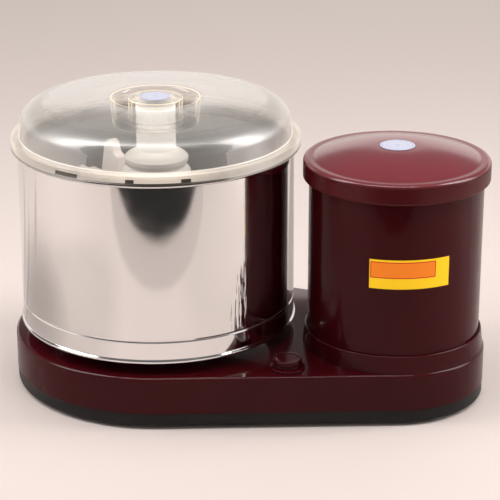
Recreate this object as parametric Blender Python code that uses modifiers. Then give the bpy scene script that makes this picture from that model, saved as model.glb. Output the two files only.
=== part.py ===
"""A countertop wet grinder: steel drum with granite stones, clear lid, maroon base and motor tower.

Units are metres, +Z is up. The origin is the middle of the footprint, on the surface the feet stand on.
The drum turns about the vertical axis at x = DRUM_X, the motor about the one at x = TOWER_X.
Heights are stacked upwards from the feet, so each piece seats on the one below it.
"""
import math

import bmesh
import bpy
from mathutils import Matrix

MM = 0.001

# Fits and facets
SEAT_GAP = 0.3 * MM
RUN_GAP = 0.4 * MM
CUT_OVERRUN = 2.0 * MM
UNION_SINK = 1.0 * MM
LARGE_STEPS = 32
MEDIUM_STEPS = 20
INNER_STEPS = 12
INNER_FLAT_SHARE = math.cos(math.pi / INNER_STEPS)
SMALL_STEPS = 10
TINY_STEPS = 8
FLAT_ARC_STEPS = 4
MERGE_DISTANCE = 0.01 * MM
NUT_SIDES = 6
SHARP_ANGLE = 35.0
LEVEL_SHARE = 0.5
FULL_TURN = 360.0

# Footprint: two circles and their outer tangents
TOWER_GAP = 4.4 * MM
BASE_DRUM_MARGIN = 5.2 * MM
BASE_TOWER_MARGIN = 5.6 * MM
DRUM_ARC_STEPS = 22
TOWER_ARC_STEPS = 14

# Feet
FOOT_RADIUS = 11.0 * MM
FOOT_HEIGHT = 2.7 * MM
FOOT_EDGE = 0.8 * MM
FOOT_STEM_RADIUS = 3.4 * MM
FOOT_HEAD_RADIUS = 4.8 * MM
FOOT_HEAD_HEIGHT = 1.7 * MM
FOOT_DRUM_INSET = 26.4 * MM
FOOT_TOWER_INSET = 25.2 * MM
FOOT_DRUM_ANGLE = 125.0
FOOT_TOWER_ANGLE = 55.0

# Bottom tray
TRAY_HEIGHT = 11.8 * MM
TRAY_FLOOR = 2.5 * MM
TRAY_WALL = 2.4 * MM
TRAY_INSET = 0.4 * MM
TRAY_EDGE = 2.2 * MM
VENT_COUNT = 5
VENT_LENGTH = 46.0 * MM
VENT_WIDTH = 3.4 * MM
VENT_PITCH = 9.0 * MM

# Base body: deck, walls, collar round the tower and screw columns
BASE_HEIGHT = 33.8 * MM
DECK_THICKNESS = 2.5 * MM
BASE_WALL = 2.4 * MM
DECK_EDGE = 3.0 * MM
EDGE_SEGMENTS = 2
COLLAR_HEIGHT = 16.1 * MM
COLLAR_FOOT_INSET = 1.3 * MM
COLLAR_FOOT_DROP = 1.4 * MM
COLLAR_TAPER = 3.3 * MM
COLLAR_TOP_EDGE = 1.1 * MM
TOWER_OPENING_RADIUS = 47.0 * MM
COLUMN_RADIUS = 4.6 * MM
COLUMN_WALL_GAP = 1.2 * MM
COLUMN_DRUM_ANGLES = (120.0, -120.0)
COLUMN_TOWER_ANGLES = (50.0, -50.0)

# Screws that hold the tray to the base
SCREW_RADIUS = 1.9 * MM
SCREW_HEAD_RADIUS = 3.9 * MM
SCREW_HEAD_HEIGHT = 1.8 * MM
SCREW_GRIP = 15.0 * MM
SCREW_TIP_SPACE = 2.0 * MM

# Fixed centre rod
ROD_RADIUS = 6.0 * MM
ROD_FLAT = 4.5 * MM
ROD_FOOT_RADIUS = 17.0 * MM
ROD_FOOT_THICKNESS = 2.5 * MM
ROD_STUD_RADIUS = 4.0 * MM
ROD_STUD_END = 0.7 * MM
ROD_NUT_RADIUS = 7.8 * MM
ROD_NUT_HEIGHT = 2.2 * MM
ROD_RISE = 48.0 * MM
ROD_FLAT_SPACE = 3.0 * MM

# Bearing housing, spindle and bearings
HOUSING_RADIUS = 30.0 * MM
HOUSING_RISE = 17.1 * MM
HOUSING_LENGTH = 35.0 * MM
HOUSING_FLANGE_RADIUS = 46.0 * MM
HOUSING_FLANGE = 4.0 * MM
HOUSING_NUT_RADIUS = 40.0 * MM
HOUSING_NUT_HEIGHT = 6.0 * MM
BEARING_RADIUS = 23.2 * MM
BEARING_WIDTH = 13.7 * MM
BEARING_SHOULDER = 4.2 * MM
SPINDLE_RADIUS = 10.0 * MM
SPINDLE_BORE = 6.8 * MM
SPINDLE_COLLAR_RADIUS = 12.5 * MM
SPINDLE_TAIL = 1.0 * MM

# Belt drive
BELT_PLANE_HEIGHT = 14.5 * MM
BELT_WIDTH = 8.0 * MM
BELT_THICKNESS = 4.0 * MM
DRIVE_PITCH_RADIUS = 92.0 * MM
MOTOR_PITCH_RADIUS = 11.5 * MM
PULLEY_FLANGE = 1.5 * MM
PULLEY_FLANGE_RISE = 2.0 * MM
PULLEY_RIM = 5.0 * MM
PULLEY_WEB = 3.5 * MM
PULLEY_HUB_RADIUS = 18.0 * MM
PULLEY_HUB_LENGTH = 15.2 * MM
MOTOR_PULLEY_HUB = 8.0 * MM
MOTOR_PULLEY_HUB_RADIUS = 11.0 * MM
BELT_DRUM_STEPS = 30
BELT_MOTOR_STEPS = 8

# Coupling between the spindle and the drum
COUPLING_RADIUS = 34.0 * MM
COUPLING_THICKNESS = 6.6 * MM
COUPLING_HUB_RADIUS = 16.0 * MM
COUPLING_HUB_HEIGHT = 1.7 * MM
COUPLING_LIP = 1.0 * MM
DRIVE_PIN_RADIUS = 5.0 * MM
DRIVE_PIN_HEIGHT = 5.4 * MM
DRIVE_PIN_REACH = 25.0 * MM
DRIVE_PIN_COUNT = 3
DRUM_COUPLING_RADIUS = 42.0 * MM
DRUM_COUPLING_THICKNESS = 6.8 * MM

# Drum
DRUM_RADIUS = 125.0 * MM
DRUM_SHEET = 1.2 * MM
SKIRT_DEPTH = 21.8 * MM
DRUM_HEIGHT = 163.2 * MM
RIM_BEAD_RADIUS = 1.7 * MM
RIM_BEAD_OFFSET = 2.2 * MM
RIM_BEAD_START = 135.0
RIM_BEAD_END = -90.0
RIM_BEAD_STEPS = 5
FOOT_BEAD_WIDTH = 2.2 * MM
FOOT_BEAD_HEIGHT = 1.8 * MM
FOOT_BEAD_EDGE = 0.6 * MM
FOOT_BEAD_SLOPE = 1.4 * MM
GROOVE_DEPTH = 0.6 * MM
GROOVE_HALF_WIDTH = 1.2 * MM
GROOVE_BELOW_PAN = 1.7 * MM
PAN_FLANGE_HEIGHT = 12.0 * MM
STONE_SIDE_GAP = 4.3 * MM
STONE_THICKNESS = 24.5 * MM
STONE_EDGE = 2.5 * MM
TUBE_RADIUS = 14.0 * MM
TUBE_SHEET = 1.6 * MM
TUBE_RISE = 68.0 * MM
TUBE_FOOT_WIDTH = 3.2 * MM
TUBE_FOOT_HEIGHT = 1.5 * MM
CLAMP_NUT_RADIUS = 24.0 * MM
CLAMP_NUT_HEIGHT = 4.0 * MM
CLAMP_NUT_EDGE = 1.0 * MM

# Roller stones
ROLLER_RADIUS = 33.0 * MM
ROLLER_WALL_SPACE = 21.8 * MM
ROLLER_INNER_REACH = 36.0 * MM
ROLLER_EDGE = 3.0 * MM
ROLLER_AZIMUTH = 15.0
BUSH_RADIUS = 8.0 * MM
BUSH_FLANGE_RADIUS = 12.0 * MM
BUSH_FLANGE = 1.2 * MM
BUSH_END = 1.2 * MM
AXLE_RADIUS = 5.0 * MM
AXLE_DEPTH = 16.5 * MM
AXLE_HEAD_RADIUS = 9.0 * MM
AXLE_HEAD_HEIGHT = 5.2 * MM

# Roller holder: body, grip and wiper
HOLDER_CLEARANCE = 0.7 * MM
HOLDER_LOWER_RADIUS = 27.0 * MM
HOLDER_UPPER_RADIUS = 24.0 * MM
HOLDER_STEP_RISE = 18.4 * MM
HOLDER_UPPER_HEIGHT = 28.3 * MM
HOLDER_BORE_GAP = 0.6 * MM
HOLDER_EDGE = 2.0 * MM
HOLDER_BORE_SPACE = 4.0 * MM
SPIGOT_RADIUS = 13.0 * MM
SPIGOT_HEIGHT = 14.0 * MM
BOSS_RADIUS = 10.0 * MM
GRIP_FLARE_RADIUS = 31.5 * MM
GRIP_FLARE_HEIGHT = 8.7 * MM
GRIP_NECK_RADIUS = 26.5 * MM
GRIP_NECK_HEIGHT = 14.7 * MM
GRIP_DISC_RADIUS = 28.9 * MM
GRIP_DISC_HEIGHT = 20.7 * MM
GRIP_DISC_EDGE = 1.8 * MM
GRIP_CONE_HEIGHT = 30.0 * MM
GRIP_STEM_RADIUS = 17.8 * MM
GRIP_STEM_EDGE = 2.0 * MM
GRIP_TOP_SPACE = 3.5 * MM
WIPER_AZIMUTH = 138.0
WIPER_ARM_HEIGHT = 12.0 * MM
WIPER_ARM_WIDTH = 8.0 * MM
WIPER_RING_WIDTH = 5.0 * MM
WIPER_WALL_GAP = 2.3 * MM
WIPER_BLADE_OVERHANG = 10.0 * MM
WIPER_BLADE_LENGTH = 36.0 * MM
WIPER_BLADE_THICKNESS = 3.5 * MM
WIPER_STONE_GAP = 2.0 * MM
WIPER_TONGUE_REACH = 68.0 * MM
WIPER_TONGUE_WIDTH = 20.0 * MM
WIPER_TONGUE_THICKNESS = 10.0 * MM
WIPER_TONGUE_RISE = 38.0 * MM
WIPER_TONGUE_STEPS = 8

# Lid
LID_SHEET = 2.4 * MM
LID_LIP_WIDTH = 1.7 * MM
LID_LIP_TAPER = 0.4 * MM
LID_LIP_HEIGHT = 8.5 * MM
LID_LIP_EDGE = 0.8 * MM
LID_LIP_OVERLAP = 1.5 * MM
LID_RIB_GAP = 0.6 * MM
LID_RIB_DEPTH = 10.0 * MM
LID_RIB_WIDTH = 2.0 * MM
DOME_FOOT_INSET = 8.4 * MM
DOME_SHOULDER_INSET = 2.5 * MM
DOME_SHOULDER_RISE = 17.5 * MM
DOME_CROWN_INSET = 19.6 * MM
DOME_CROWN_RISE = 12.7 * MM
DOME_MIDDLE_INSET = 34.5 * MM
DOME_MIDDLE_RISE = 2.3 * MM
DOME_TOP_RISE = 3.1 * MM
DOME_STEPS = 3
WELL_RADIUS = 38.2 * MM
WELL_RIM_EDGE = 2.6 * MM
WELL_TAPER = 2.0 * MM
WELL_DEPTH = 21.3 * MM
KNOB_RADIUS = 24.4 * MM
KNOB_EDGE = 1.3 * MM
LID_STICKER_RADIUS = 13.7 * MM
STICKER_THICKNESS = 0.4 * MM

# Motor tower
CAN_RADIUS = 77.6 * MM
CAN_SHEET = 1.6 * MM
CAN_HEIGHT = 166.8 * MM
CAP_OVERHANG = 5.4 * MM
CAP_SHEET = 2.0 * MM
CAP_SKIRT = 11.3 * MM
CAP_RIM_RISE = 4.7 * MM
CAP_RIM_EDGE = 3.6 * MM
CAP_CREASE_INSET = 11.1 * MM
CAP_CREASE_RISE = 7.0 * MM
CAP_DOME_RISE = 9.5 * MM
CAP_DOME_STEPS = 3
CAP_STICKER_RADIUS = 15.5 * MM
CAP_SEAT_WIDTH = 4.0 * MM
LABEL_START_ANGLE = -9.3
LABEL_END_ANGLE = 43.3
LABEL_HEIGHT = 26.4 * MM
LABEL_RISE = 78.4 * MM
LABEL_THICKNESS = 0.5 * MM
LABEL_STEPS = 8

# Motor
SHIELD_LEG_RADIUS = 5.6 * MM
SHIELD_LEG_HEIGHT = 31.1 * MM
SHIELD_PLATE = 6.0 * MM
SHIELD_RIM = 3.5 * MM
SHIELD_BOSS_RADIUS = 20.0 * MM
SHIELD_BOSS_HEIGHT = 12.0 * MM
SHIELD_BEARING_LIP = 1.2 * MM
MOTOR_BEARING_RADIUS = 16.0 * MM
MOTOR_BEARING_WIDTH = 10.0 * MM
SHAFT_RADIUS = 6.0 * MM
SHAFT_LIP_RADIUS = 9.0 * MM
STATOR_RADIUS = 62.0 * MM
STATOR_BORE = 32.0 * MM
STATOR_HEIGHT = 51.7 * MM
WINDING_SPACE = 21.7 * MM
WINDING_HEIGHT = 17.0 * MM
WINDING_RADIUS = 49.0 * MM
WINDING_BORE = 36.0 * MM
WINDING_EDGE = 4.0 * MM
SLOT_COUNT = 6
SLOT_REACH = 41.0 * MM
SLOT_RADIUS = 2.8 * MM
ROTOR_END_INSET = 1.0 * MM
ROTOR_AIR_GAP = 0.7 * MM
BOLT_RADIUS = 1.8 * MM
BOLT_REACH = 54.2 * MM
BOLT_HEAD_RADIUS = 3.4 * MM
BOLT_HEAD_HEIGHT = 3.0 * MM
BOLT_COUNT = 3
BOLT_START_ANGLE = 60.0
FAN_RADIUS = 48.0 * MM
FAN_DISC = 2.0 * MM
FAN_BLADE_HEIGHT = 10.0 * MM
FAN_BLADE_WIDTH = 2.0 * MM
FAN_BLADE_COUNT = 6
FAN_HUB_RADIUS = 12.0 * MM
FAN_SPACE = 4.0 * MM
SHAFT_TAIL = 1.5 * MM
SHAFT_FOOT_SPACE = 7.0 * MM

# Capacitor in its cradle, and the motor lead, beside the belt
CAPACITOR_RADIUS = 14.0 * MM
CAPACITOR_LENGTH = 52.0 * MM
CAPACITOR_TOWER_REACH = 93.8 * MM
CAPACITOR_EDGE_INSET = 30.1 * MM
CAPACITOR_FLOOR_GAP = 3.0 * MM
CAPACITOR_EDGE = 1.5 * MM
CRADLE_THICKNESS = 3.0 * MM
CRADLE_WALL = 2.5 * MM
CRADLE_RISE = 4.5 * MM
CRADLE_REACH = 16.0 * MM
LEAD_RADIUS = 1.8 * MM
LEAD_REACH = 41.0 * MM
LEAD_ANGLE = 132.0
LEAD_HOLE_RADIUS = 3.4 * MM
LEAD_POINT_COUNT = 14
LEAD_BEND_SHARES = (0.0, 0.3)

# Switch on the deck
SWITCH_TOWER_REACH = 82.6 * MM
SWITCH_EDGE_INSET = 22.4 * MM
SWITCH_BODY_SIDE = 24.0 * MM
SWITCH_BODY_HEIGHT = 18.0 * MM
SWITCH_BODY_EDGE = 1.0 * MM
SWITCH_NECK_RADIUS = 4.6 * MM
SWITCH_NECK_RISE = 3.0 * MM
SWITCH_SHAFT_RADIUS = 2.5 * MM
SWITCH_SHAFT_DEPTH = 12.0 * MM
BEZEL_RADIUS = 15.6 * MM
BEZEL_EDGE_HEIGHT = 1.1 * MM
BEZEL_SLOPE_HEIGHT = 2.5 * MM
BEZEL_WAIST_RADIUS = 11.4 * MM
BEZEL_HEIGHT = 3.8 * MM
SWITCH_KNOB_RADIUS = 12.8 * MM
SWITCH_KNOB_HEIGHT = 5.1 * MM
SWITCH_KNOB_EDGE = 1.4 * MM

# Cable gland in the rear wall
GLAND_TOWER_REACH = 38.8 * MM
GLAND_HEIGHT = 15.0 * MM
GLAND_BODY_RADIUS = 7.0 * MM
GLAND_FLANGE_RADIUS = 9.5 * MM
GLAND_FLANGE = 2.4 * MM
GLAND_BORE = 4.3 * MM
GLAND_OUTER_LENGTH = 5.0 * MM
GLAND_INNER_LENGTH = 2.0 * MM

# Places worked out from the sizes above
DRUM_INNER_RADIUS = DRUM_RADIUS - DRUM_SHEET
STONE_RADIUS = DRUM_INNER_RADIUS - SEAT_GAP - DRUM_SHEET - STONE_SIDE_GAP
ROLLER_OUTER_REACH = DRUM_INNER_RADIUS - ROLLER_WALL_SPACE
LID_LIP_RADIUS = DRUM_RADIUS + RIM_BEAD_OFFSET + RIM_BEAD_RADIUS + RUN_GAP + LID_LIP_WIDTH
DOME_FOOT_RADIUS = LID_LIP_RADIUS - DOME_FOOT_INSET
DOME_SHOULDER_RADIUS = DOME_FOOT_RADIUS - DOME_SHOULDER_INSET
DOME_CROWN_RADIUS = DOME_SHOULDER_RADIUS - DOME_CROWN_INSET
DOME_MIDDLE_RADIUS = DOME_CROWN_RADIUS - DOME_MIDDLE_INSET
CAP_RADIUS = CAN_RADIUS + CAP_OVERHANG
CAP_CREASE_RADIUS = CAP_RADIUS - CAP_CREASE_INSET

BASE_DRUM_RADIUS = DRUM_RADIUS + FOOT_BEAD_WIDTH + BASE_DRUM_MARGIN
BASE_TOWER_RADIUS = CAN_RADIUS + BASE_TOWER_MARGIN
COLLAR_TOP_RADIUS = BASE_TOWER_RADIUS - COLLAR_TAPER
FOOT_DRUM_REACH = BASE_DRUM_RADIUS - FOOT_DRUM_INSET
FOOT_TOWER_REACH = BASE_TOWER_RADIUS - FOOT_TOWER_INSET
AXIS_DISTANCE = LID_LIP_RADIUS + TOWER_GAP + CAP_RADIUS
DRUM_X = (BASE_DRUM_RADIUS - BASE_TOWER_RADIUS - AXIS_DISTANCE) / 2
TOWER_X = DRUM_X + AXIS_DISTANCE
TAPER = math.asin((BASE_DRUM_RADIUS - BASE_TOWER_RADIUS) / AXIS_DISTANCE)


def rear_edge(x):
    """Return how far the base reaches behind its middle line at a place between the two axes."""
    return (BASE_DRUM_RADIUS - (x - DRUM_X) * math.sin(TAPER)) / math.cos(TAPER)


SWITCH_X = TOWER_X - SWITCH_TOWER_REACH
SWITCH_Y = SWITCH_EDGE_INSET - rear_edge(SWITCH_X)
CAPACITOR_X = TOWER_X - CAPACITOR_TOWER_REACH
CAPACITOR_Y = rear_edge(CAPACITOR_X) - CAPACITOR_EDGE_INSET
GLAND_X = TOWER_X - GLAND_TOWER_REACH

TRAY_BOTTOM = FOOT_HEIGHT + SEAT_GAP
TRAY_FLOOR_TOP = TRAY_BOTTOM + TRAY_FLOOR
TRAY_TOP = TRAY_BOTTOM + TRAY_HEIGHT
BASE_BOTTOM = TRAY_TOP + SEAT_GAP
DECK_TOP = BASE_BOTTOM + BASE_HEIGHT
DECK_UNDER = DECK_TOP - DECK_THICKNESS
COLLAR_TOP = DECK_TOP + COLLAR_HEIGHT

HOUSING_TOP = DECK_TOP + HOUSING_RISE
HOUSING_BOTTOM = HOUSING_TOP - HOUSING_LENGTH
COUPLING_DISC_BOTTOM = HOUSING_TOP + SEAT_GAP + COUPLING_HUB_HEIGHT
COUPLING_TOP = COUPLING_DISC_BOTTOM + COUPLING_THICKNESS
PULLEY_HUB_TOP = HOUSING_BOTTOM - SEAT_GAP
PULLEY_HUB_BOTTOM = PULLEY_HUB_TOP - PULLEY_HUB_LENGTH
BELT_Z = TRAY_FLOOR_TOP + BELT_PLANE_HEIGHT

DRUM_COUPLING_BOTTOM = COUPLING_TOP + SEAT_GAP
PAN_BOTTOM = DRUM_COUPLING_BOTTOM + DRUM_COUPLING_THICKNESS + SEAT_GAP
PAN_TOP = PAN_BOTTOM + DRUM_SHEET
STONE_BOTTOM = PAN_TOP + SEAT_GAP
STONE_TOP = STONE_BOTTOM + STONE_THICKNESS
SKIRT_BOTTOM = PAN_BOTTOM - SKIRT_DEPTH
RIM_BEAD_Z = SKIRT_BOTTOM + DRUM_HEIGHT
RIM_TOP = RIM_BEAD_Z + RIM_BEAD_RADIUS
CLAMP_NUT_TOP = STONE_TOP + SEAT_GAP + CLAMP_NUT_HEIGHT
TUBE_TOP = STONE_TOP + TUBE_RISE

AXLE_Z = STONE_TOP + SEAT_GAP + ROLLER_RADIUS
HOLDER_BOTTOM = CLAMP_NUT_TOP + HOLDER_CLEARANCE
HOLDER_STEP_Z = AXLE_Z + HOLDER_STEP_RISE
HOLDER_TOP = HOLDER_STEP_Z + HOLDER_UPPER_HEIGHT
HOLDER_BORE_TOP = TUBE_TOP + HOLDER_BORE_SPACE
ROD_TOP = HOLDER_TOP + ROD_RISE
BOSS_END = ROLLER_INNER_REACH - BUSH_FLANGE - 2 * SEAT_GAP

LID_SEAT_Z = RIM_TOP + SEAT_GAP
LID_LIP_BOTTOM = LID_SEAT_Z - LID_LIP_OVERLAP
LID_LIP_TOP = LID_LIP_BOTTOM + LID_LIP_HEIGHT
DOME_SHOULDER_Z = LID_LIP_TOP + DOME_SHOULDER_RISE
DOME_CROWN_Z = DOME_SHOULDER_Z + DOME_CROWN_RISE
DOME_TOP_Z = DOME_CROWN_Z + DOME_TOP_RISE
WELL_FLOOR_Z = DOME_TOP_Z - WELL_DEPTH
KNOB_HOLLOW_TOP = DOME_TOP_Z - LID_SHEET
GRIP_BOTTOM = HOLDER_TOP + SEAT_GAP
GRIP_TOP = KNOB_HOLLOW_TOP - GRIP_TOP_SPACE

CAPACITOR_Z = TRAY_FLOOR_TOP + CAPACITOR_FLOOR_GAP + CAPACITOR_RADIUS
CAN_BOTTOM = DECK_TOP + SEAT_GAP
CAN_TOP = CAN_BOTTOM + CAN_HEIGHT
CAP_SEAT_Z = CAN_TOP + SEAT_GAP
CAP_TOP_Z = CAP_SEAT_Z + CAP_CREASE_RISE + CAP_DOME_RISE

LOWER_SHIELD_Z = DECK_TOP + SEAT_GAP + SHIELD_LEG_HEIGHT
STATOR_BOTTOM = LOWER_SHIELD_Z + SHIELD_PLATE + WINDING_SPACE + SEAT_GAP
STATOR_TOP = STATOR_BOTTOM + STATOR_HEIGHT
UPPER_SHIELD_Z = STATOR_TOP + SEAT_GAP + WINDING_SPACE
UPPER_SHIELD_TOP = UPPER_SHIELD_Z + SHIELD_PLATE
FAN_BOTTOM = UPPER_SHIELD_TOP + BOLT_HEAD_HEIGHT + FAN_SPACE
FAN_TOP = FAN_BOTTOM + FAN_DISC + FAN_BLADE_HEIGHT
SHAFT_BOTTOM = TRAY_FLOOR_TOP + SHAFT_FOOT_SPACE
SHAFT_TOP = FAN_TOP + SHAFT_TAIL

# Finishes: base colour, roughness and metallic value
FINISHES = {
    "maroon_gloss": ((0.045, 0.004, 0.008, 1.0), 0.18, 0.0),
    "black_plastic": ((0.012, 0.010, 0.010, 1.0), 0.45, 0.0),
    "polished_steel": ((0.78, 0.74, 0.71, 1.0), 0.10, 1.0),
    "machined_steel": ((0.55, 0.55, 0.56, 1.0), 0.35, 1.0),
    "cast_aluminium": ((0.62, 0.62, 0.63, 1.0), 0.50, 1.0),
    "clear_lid": ((0.93, 0.90, 0.87, 0.25), 0.06, 0.0),
    "white_nylon": ((0.86, 0.81, 0.77, 1.0), 0.45, 0.0),
    "grey_granite": ((0.16, 0.15, 0.15, 1.0), 0.60, 0.0),
    "black_rubber": ((0.02, 0.02, 0.02, 1.0), 0.80, 0.0),
    "copper_winding": ((0.55, 0.22, 0.10, 1.0), 0.40, 0.6),
    "lamination_steel": ((0.25, 0.25, 0.27, 1.0), 0.50, 0.8),
    "pale_sticker": ((0.58, 0.60, 0.75, 1.0), 0.40, 0.0),
    "yellow_label": ((0.85, 0.52, 0.03, 1.0), 0.40, 0.0),
    "red_lead": ((0.40, 0.03, 0.02, 1.0), 0.50, 0.0),
    "grey_can": ((0.45, 0.46, 0.48, 1.0), 0.35, 0.7),
}


def clear_scene():
    """Remove every object of the open scene."""
    for item in list(bpy.data.objects):
        bpy.data.objects.remove(item, do_unlink=True)


def make_collection(name):
    """Return a new collection, linked to the scene."""
    group = bpy.data.collections.new(name)
    bpy.context.scene.collection.children.link(group)
    return group


def make_finish(name):
    """Return the Principled material of one finish."""
    colour, roughness, metallic = FINISHES[name]
    finish = bpy.data.materials.new(name)
    finish.use_nodes = True
    shader = finish.node_tree.nodes["Principled BSDF"]
    shader.inputs["Base Color"].default_value = colour
    shader.inputs["Roughness"].default_value = roughness
    shader.inputs["Metallic"].default_value = metallic
    shader.inputs["Alpha"].default_value = colour[3]
    finish.diffuse_color = colour
    return finish


clear_scene()
PARTS = make_collection("wet_grinder")
CUTTERS = make_collection("cutters")
MATERIALS = {name: make_finish(name) for name in FINISHES}


def place(name, mesh, finish=None, location=(0, 0, 0), rotation=(0, 0, 0)):
    """Put a mesh in the scene as a part, or as a cutter when it has no finish."""
    item = bpy.data.objects.new(name, mesh)
    item.location = location
    item.rotation_euler = rotation
    if finish is None:
        CUTTERS.objects.link(item)
        item.hide_render = True
        item.display_type = "WIRE"
    else:
        PARTS.objects.link(item)
        mesh.materials.append(MATERIALS[finish])
    return item


def body_axis(name, location, rotation=(0, 0, 0)):
    """Return an empty on a joint's axis, for the pieces that move about it."""
    empty = bpy.data.objects.new(name, None)
    empty.location = location
    empty.rotation_euler = rotation
    PARTS.objects.link(empty)
    return empty


def carry(empty, *pieces):
    """Parent pieces to an empty and keep their places in the world."""
    bpy.context.view_layer.update()
    for piece in pieces:
        piece.parent = empty
        piece.matrix_parent_inverse = empty.matrix_world.inverted()


def boolean(item, tool, operation):
    """Cut a part with a tool, or join the tool to it."""
    modifier = item.modifiers.new(tool.name, "BOOLEAN")
    modifier.operation = operation
    modifier.object = tool
    modifier.solver = "EXACT"
    return item


def profile_mesh(name, profile, closed):
    """Return a mesh of the profile's points (radius, height) in the XZ plane."""
    count = len(profile)
    edges = [(i, i + 1) for i in range(count - 1)]
    if closed:
        edges.append((count - 1, 0))
    mesh = bpy.data.meshes.new(name)
    mesh.from_pydata([(radius, 0, height) for radius, height in profile], edges, [])
    return mesh


def turned(name, profile, finish=None, location=(0, 0, 0), rotation=(0, 0, 0), steps=MEDIUM_STEPS):
    """Return a turned solid; the profile runs down its outer side and back up its bore."""
    closed = profile[0][0] > 0
    item = place(name, profile_mesh(name, profile, closed), finish, location, rotation)
    screw = item.modifiers.new("turn", "SCREW")
    screw.axis = "Z"
    screw.angle = math.tau
    screw.steps = steps
    screw.render_steps = steps
    screw.use_merge_vertices = True
    screw.merge_threshold = MERGE_DISTANCE
    screw.use_smooth_shade = True
    return item


def ring_profile(outer, inner, bottom, top):
    """Return the profile of a plain ring."""
    return [(outer, top), (outer, bottom), (inner, bottom), (inner, top)]


def disc_profile(radius, bottom, top, edge=0):
    """Return the profile of a solid disc or pin with a bevelled top edge."""
    profile = [(0, top), (radius - edge, top), (radius, top - edge), (radius, bottom), (0, bottom)]
    if edge == 0:
        profile.pop(2)
    return profile


def arc(centre, radii, start, end, steps):
    """Return points (radius, height) on an elliptic arc, angles in degrees."""
    points = []
    for i in range(steps + 1):
        angle = math.radians(start + (end - start) * i / steps)
        points.append((centre[0] + radii[0] * math.cos(angle), centre[1] + radii[1] * math.sin(angle)))
    return points


def around(count, reach, centre=(0, 0), start=0.0):
    """Return places (x, y, 0) spread evenly on a circle."""
    places = []
    for i in range(count):
        angle = math.radians(start) + math.tau * i / count
        places.append((centre[0] + reach * math.cos(angle), centre[1] + reach * math.sin(angle), 0))
    return places


def at_angles(angles, reach, centre):
    """Return places (x, y, 0) on a circle at the given angles in degrees."""
    places = []
    for angle in angles:
        places.append((centre[0] + reach * math.cos(math.radians(angle)),
                       centre[1] + reach * math.sin(math.radians(angle)), 0))
    return places


def taken_mesh(item):
    """Return the evaluated mesh of an object and remove the object."""
    bpy.context.view_layer.update()
    depsgraph = bpy.context.evaluated_depsgraph_get()
    mesh = bpy.data.meshes.new_from_object(item.evaluated_get(depsgraph))
    bm = bmesh.new()
    bm.from_mesh(mesh)
    bmesh.ops.remove_doubles(bm, verts=bm.verts, dist=MERGE_DISTANCE)
    bmesh.ops.recalc_face_normals(bm, faces=bm.faces)
    bm.to_mesh(mesh)
    bm.free()
    bpy.data.objects.remove(item, do_unlink=True)
    return mesh


def pins(name, places, radius, bottom, top, finish=None, sides=TINY_STEPS):
    """Return one object with an upright cylinder at each place."""
    bm = bmesh.new()
    for spot in places:
        centre = Matrix.Translation((spot[0], spot[1], (bottom + top) / 2))
        bmesh.ops.create_cone(bm, cap_ends=True, segments=sides, radius1=radius, radius2=radius,
                              depth=top - bottom, matrix=centre)
    mesh = bpy.data.meshes.new(name)
    bm.to_mesh(mesh)
    bm.free()
    mesh.shade_smooth()
    mesh.set_sharp_from_angle(angle=math.radians(SHARP_ANGLE))
    return place(name, mesh, finish)


def block(name, low, high, finish=None, location=(0, 0, 0), rotation=(0, 0, 0), edge=0):
    """Return a box between two corners, with bevelled edges if an edge is given."""
    size = [high[i] - low[i] for i in range(3)]
    middle = [(high[i] + low[i]) / 2 for i in range(3)]
    bm = bmesh.new()
    bmesh.ops.create_cube(bm, size=1, matrix=Matrix.Translation(middle) @ Matrix.Diagonal((*size, 1)))
    mesh = bpy.data.meshes.new(name)
    bm.to_mesh(mesh)
    bm.free()
    item = place(name, mesh, finish, location, rotation)
    if edge:
        bevel = item.modifiers.new("edges", "BEVEL")
        bevel.width = edge
        bevel.segments = 1
    return item


def plate(name, outlines, bottom, top, finish=None, location=(0, 0, 0), rotation=(0, 0, 0)):
    """Return a flat plate from outlines of points (x, y); the first is its rim, the others are holes."""
    curve = bpy.data.curves.new(name, "CURVE")
    curve.dimensions = "2D"
    curve.fill_mode = "BOTH"
    curve.extrude = (top - bottom) / 2
    for outline in outlines:
        spline = curve.splines.new("POLY")
        spline.points.add(len(outline) - 1)
        for point, (x, y) in zip(spline.points, outline):
            point.co = (x, y, 0, 1)
        spline.use_cyclic_u = True
    flat = bpy.data.objects.new(name + "_outline", curve)
    CUTTERS.objects.link(flat)
    mesh = taken_mesh(flat)
    mesh.transform(Matrix.Translation((0, 0, (bottom + top) / 2)))
    mesh.shade_smooth()
    mesh.set_sharp_from_angle(angle=math.radians(SHARP_ANGLE))
    return place(name, mesh, finish, location, rotation)


def round_rim(item, height, width, segments=EDGE_SEGMENTS):
    """Round the rim edges of a plate that lie at one height."""
    mesh = item.data
    weights = mesh.attributes.new("bevel_weight_edge", "FLOAT", "EDGE")
    rim = boundary_edges_at(mesh, height)
    for index in rim:
        weights.data[index].value = 1.0
    bevel = item.modifiers.new("rim", "BEVEL")
    bevel.limit_method = "WEIGHT"
    bevel.width = width
    bevel.segments = segments
    return item


def boundary_edges_at(mesh, height):
    """Return the edges at one height that part a level face from an upright one."""
    bm = bmesh.new()
    bm.from_mesh(mesh)
    found = []
    for edge in bm.edges:
        level = all(abs(vert.co.z - height) < MERGE_DISTANCE for vert in edge.verts)
        slopes = {abs(face.normal.z) > LEVEL_SHARE for face in edge.link_faces}
        if level and len(slopes) == 2:
            found.append(edge.index)
    bm.free()
    return found


def footprint(inset):
    """Return the base outline, drawn in by an inset: two arcs joined by their tangents."""
    opening = 90 - math.degrees(TAPER)
    points = arc((TOWER_X, 0), (BASE_TOWER_RADIUS - inset,) * 2, -opening, opening, TOWER_ARC_STEPS)
    points += arc((DRUM_X, 0), (BASE_DRUM_RADIUS - inset,) * 2, opening, FULL_TURN - opening, DRUM_ARC_STEPS)
    return points


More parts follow.
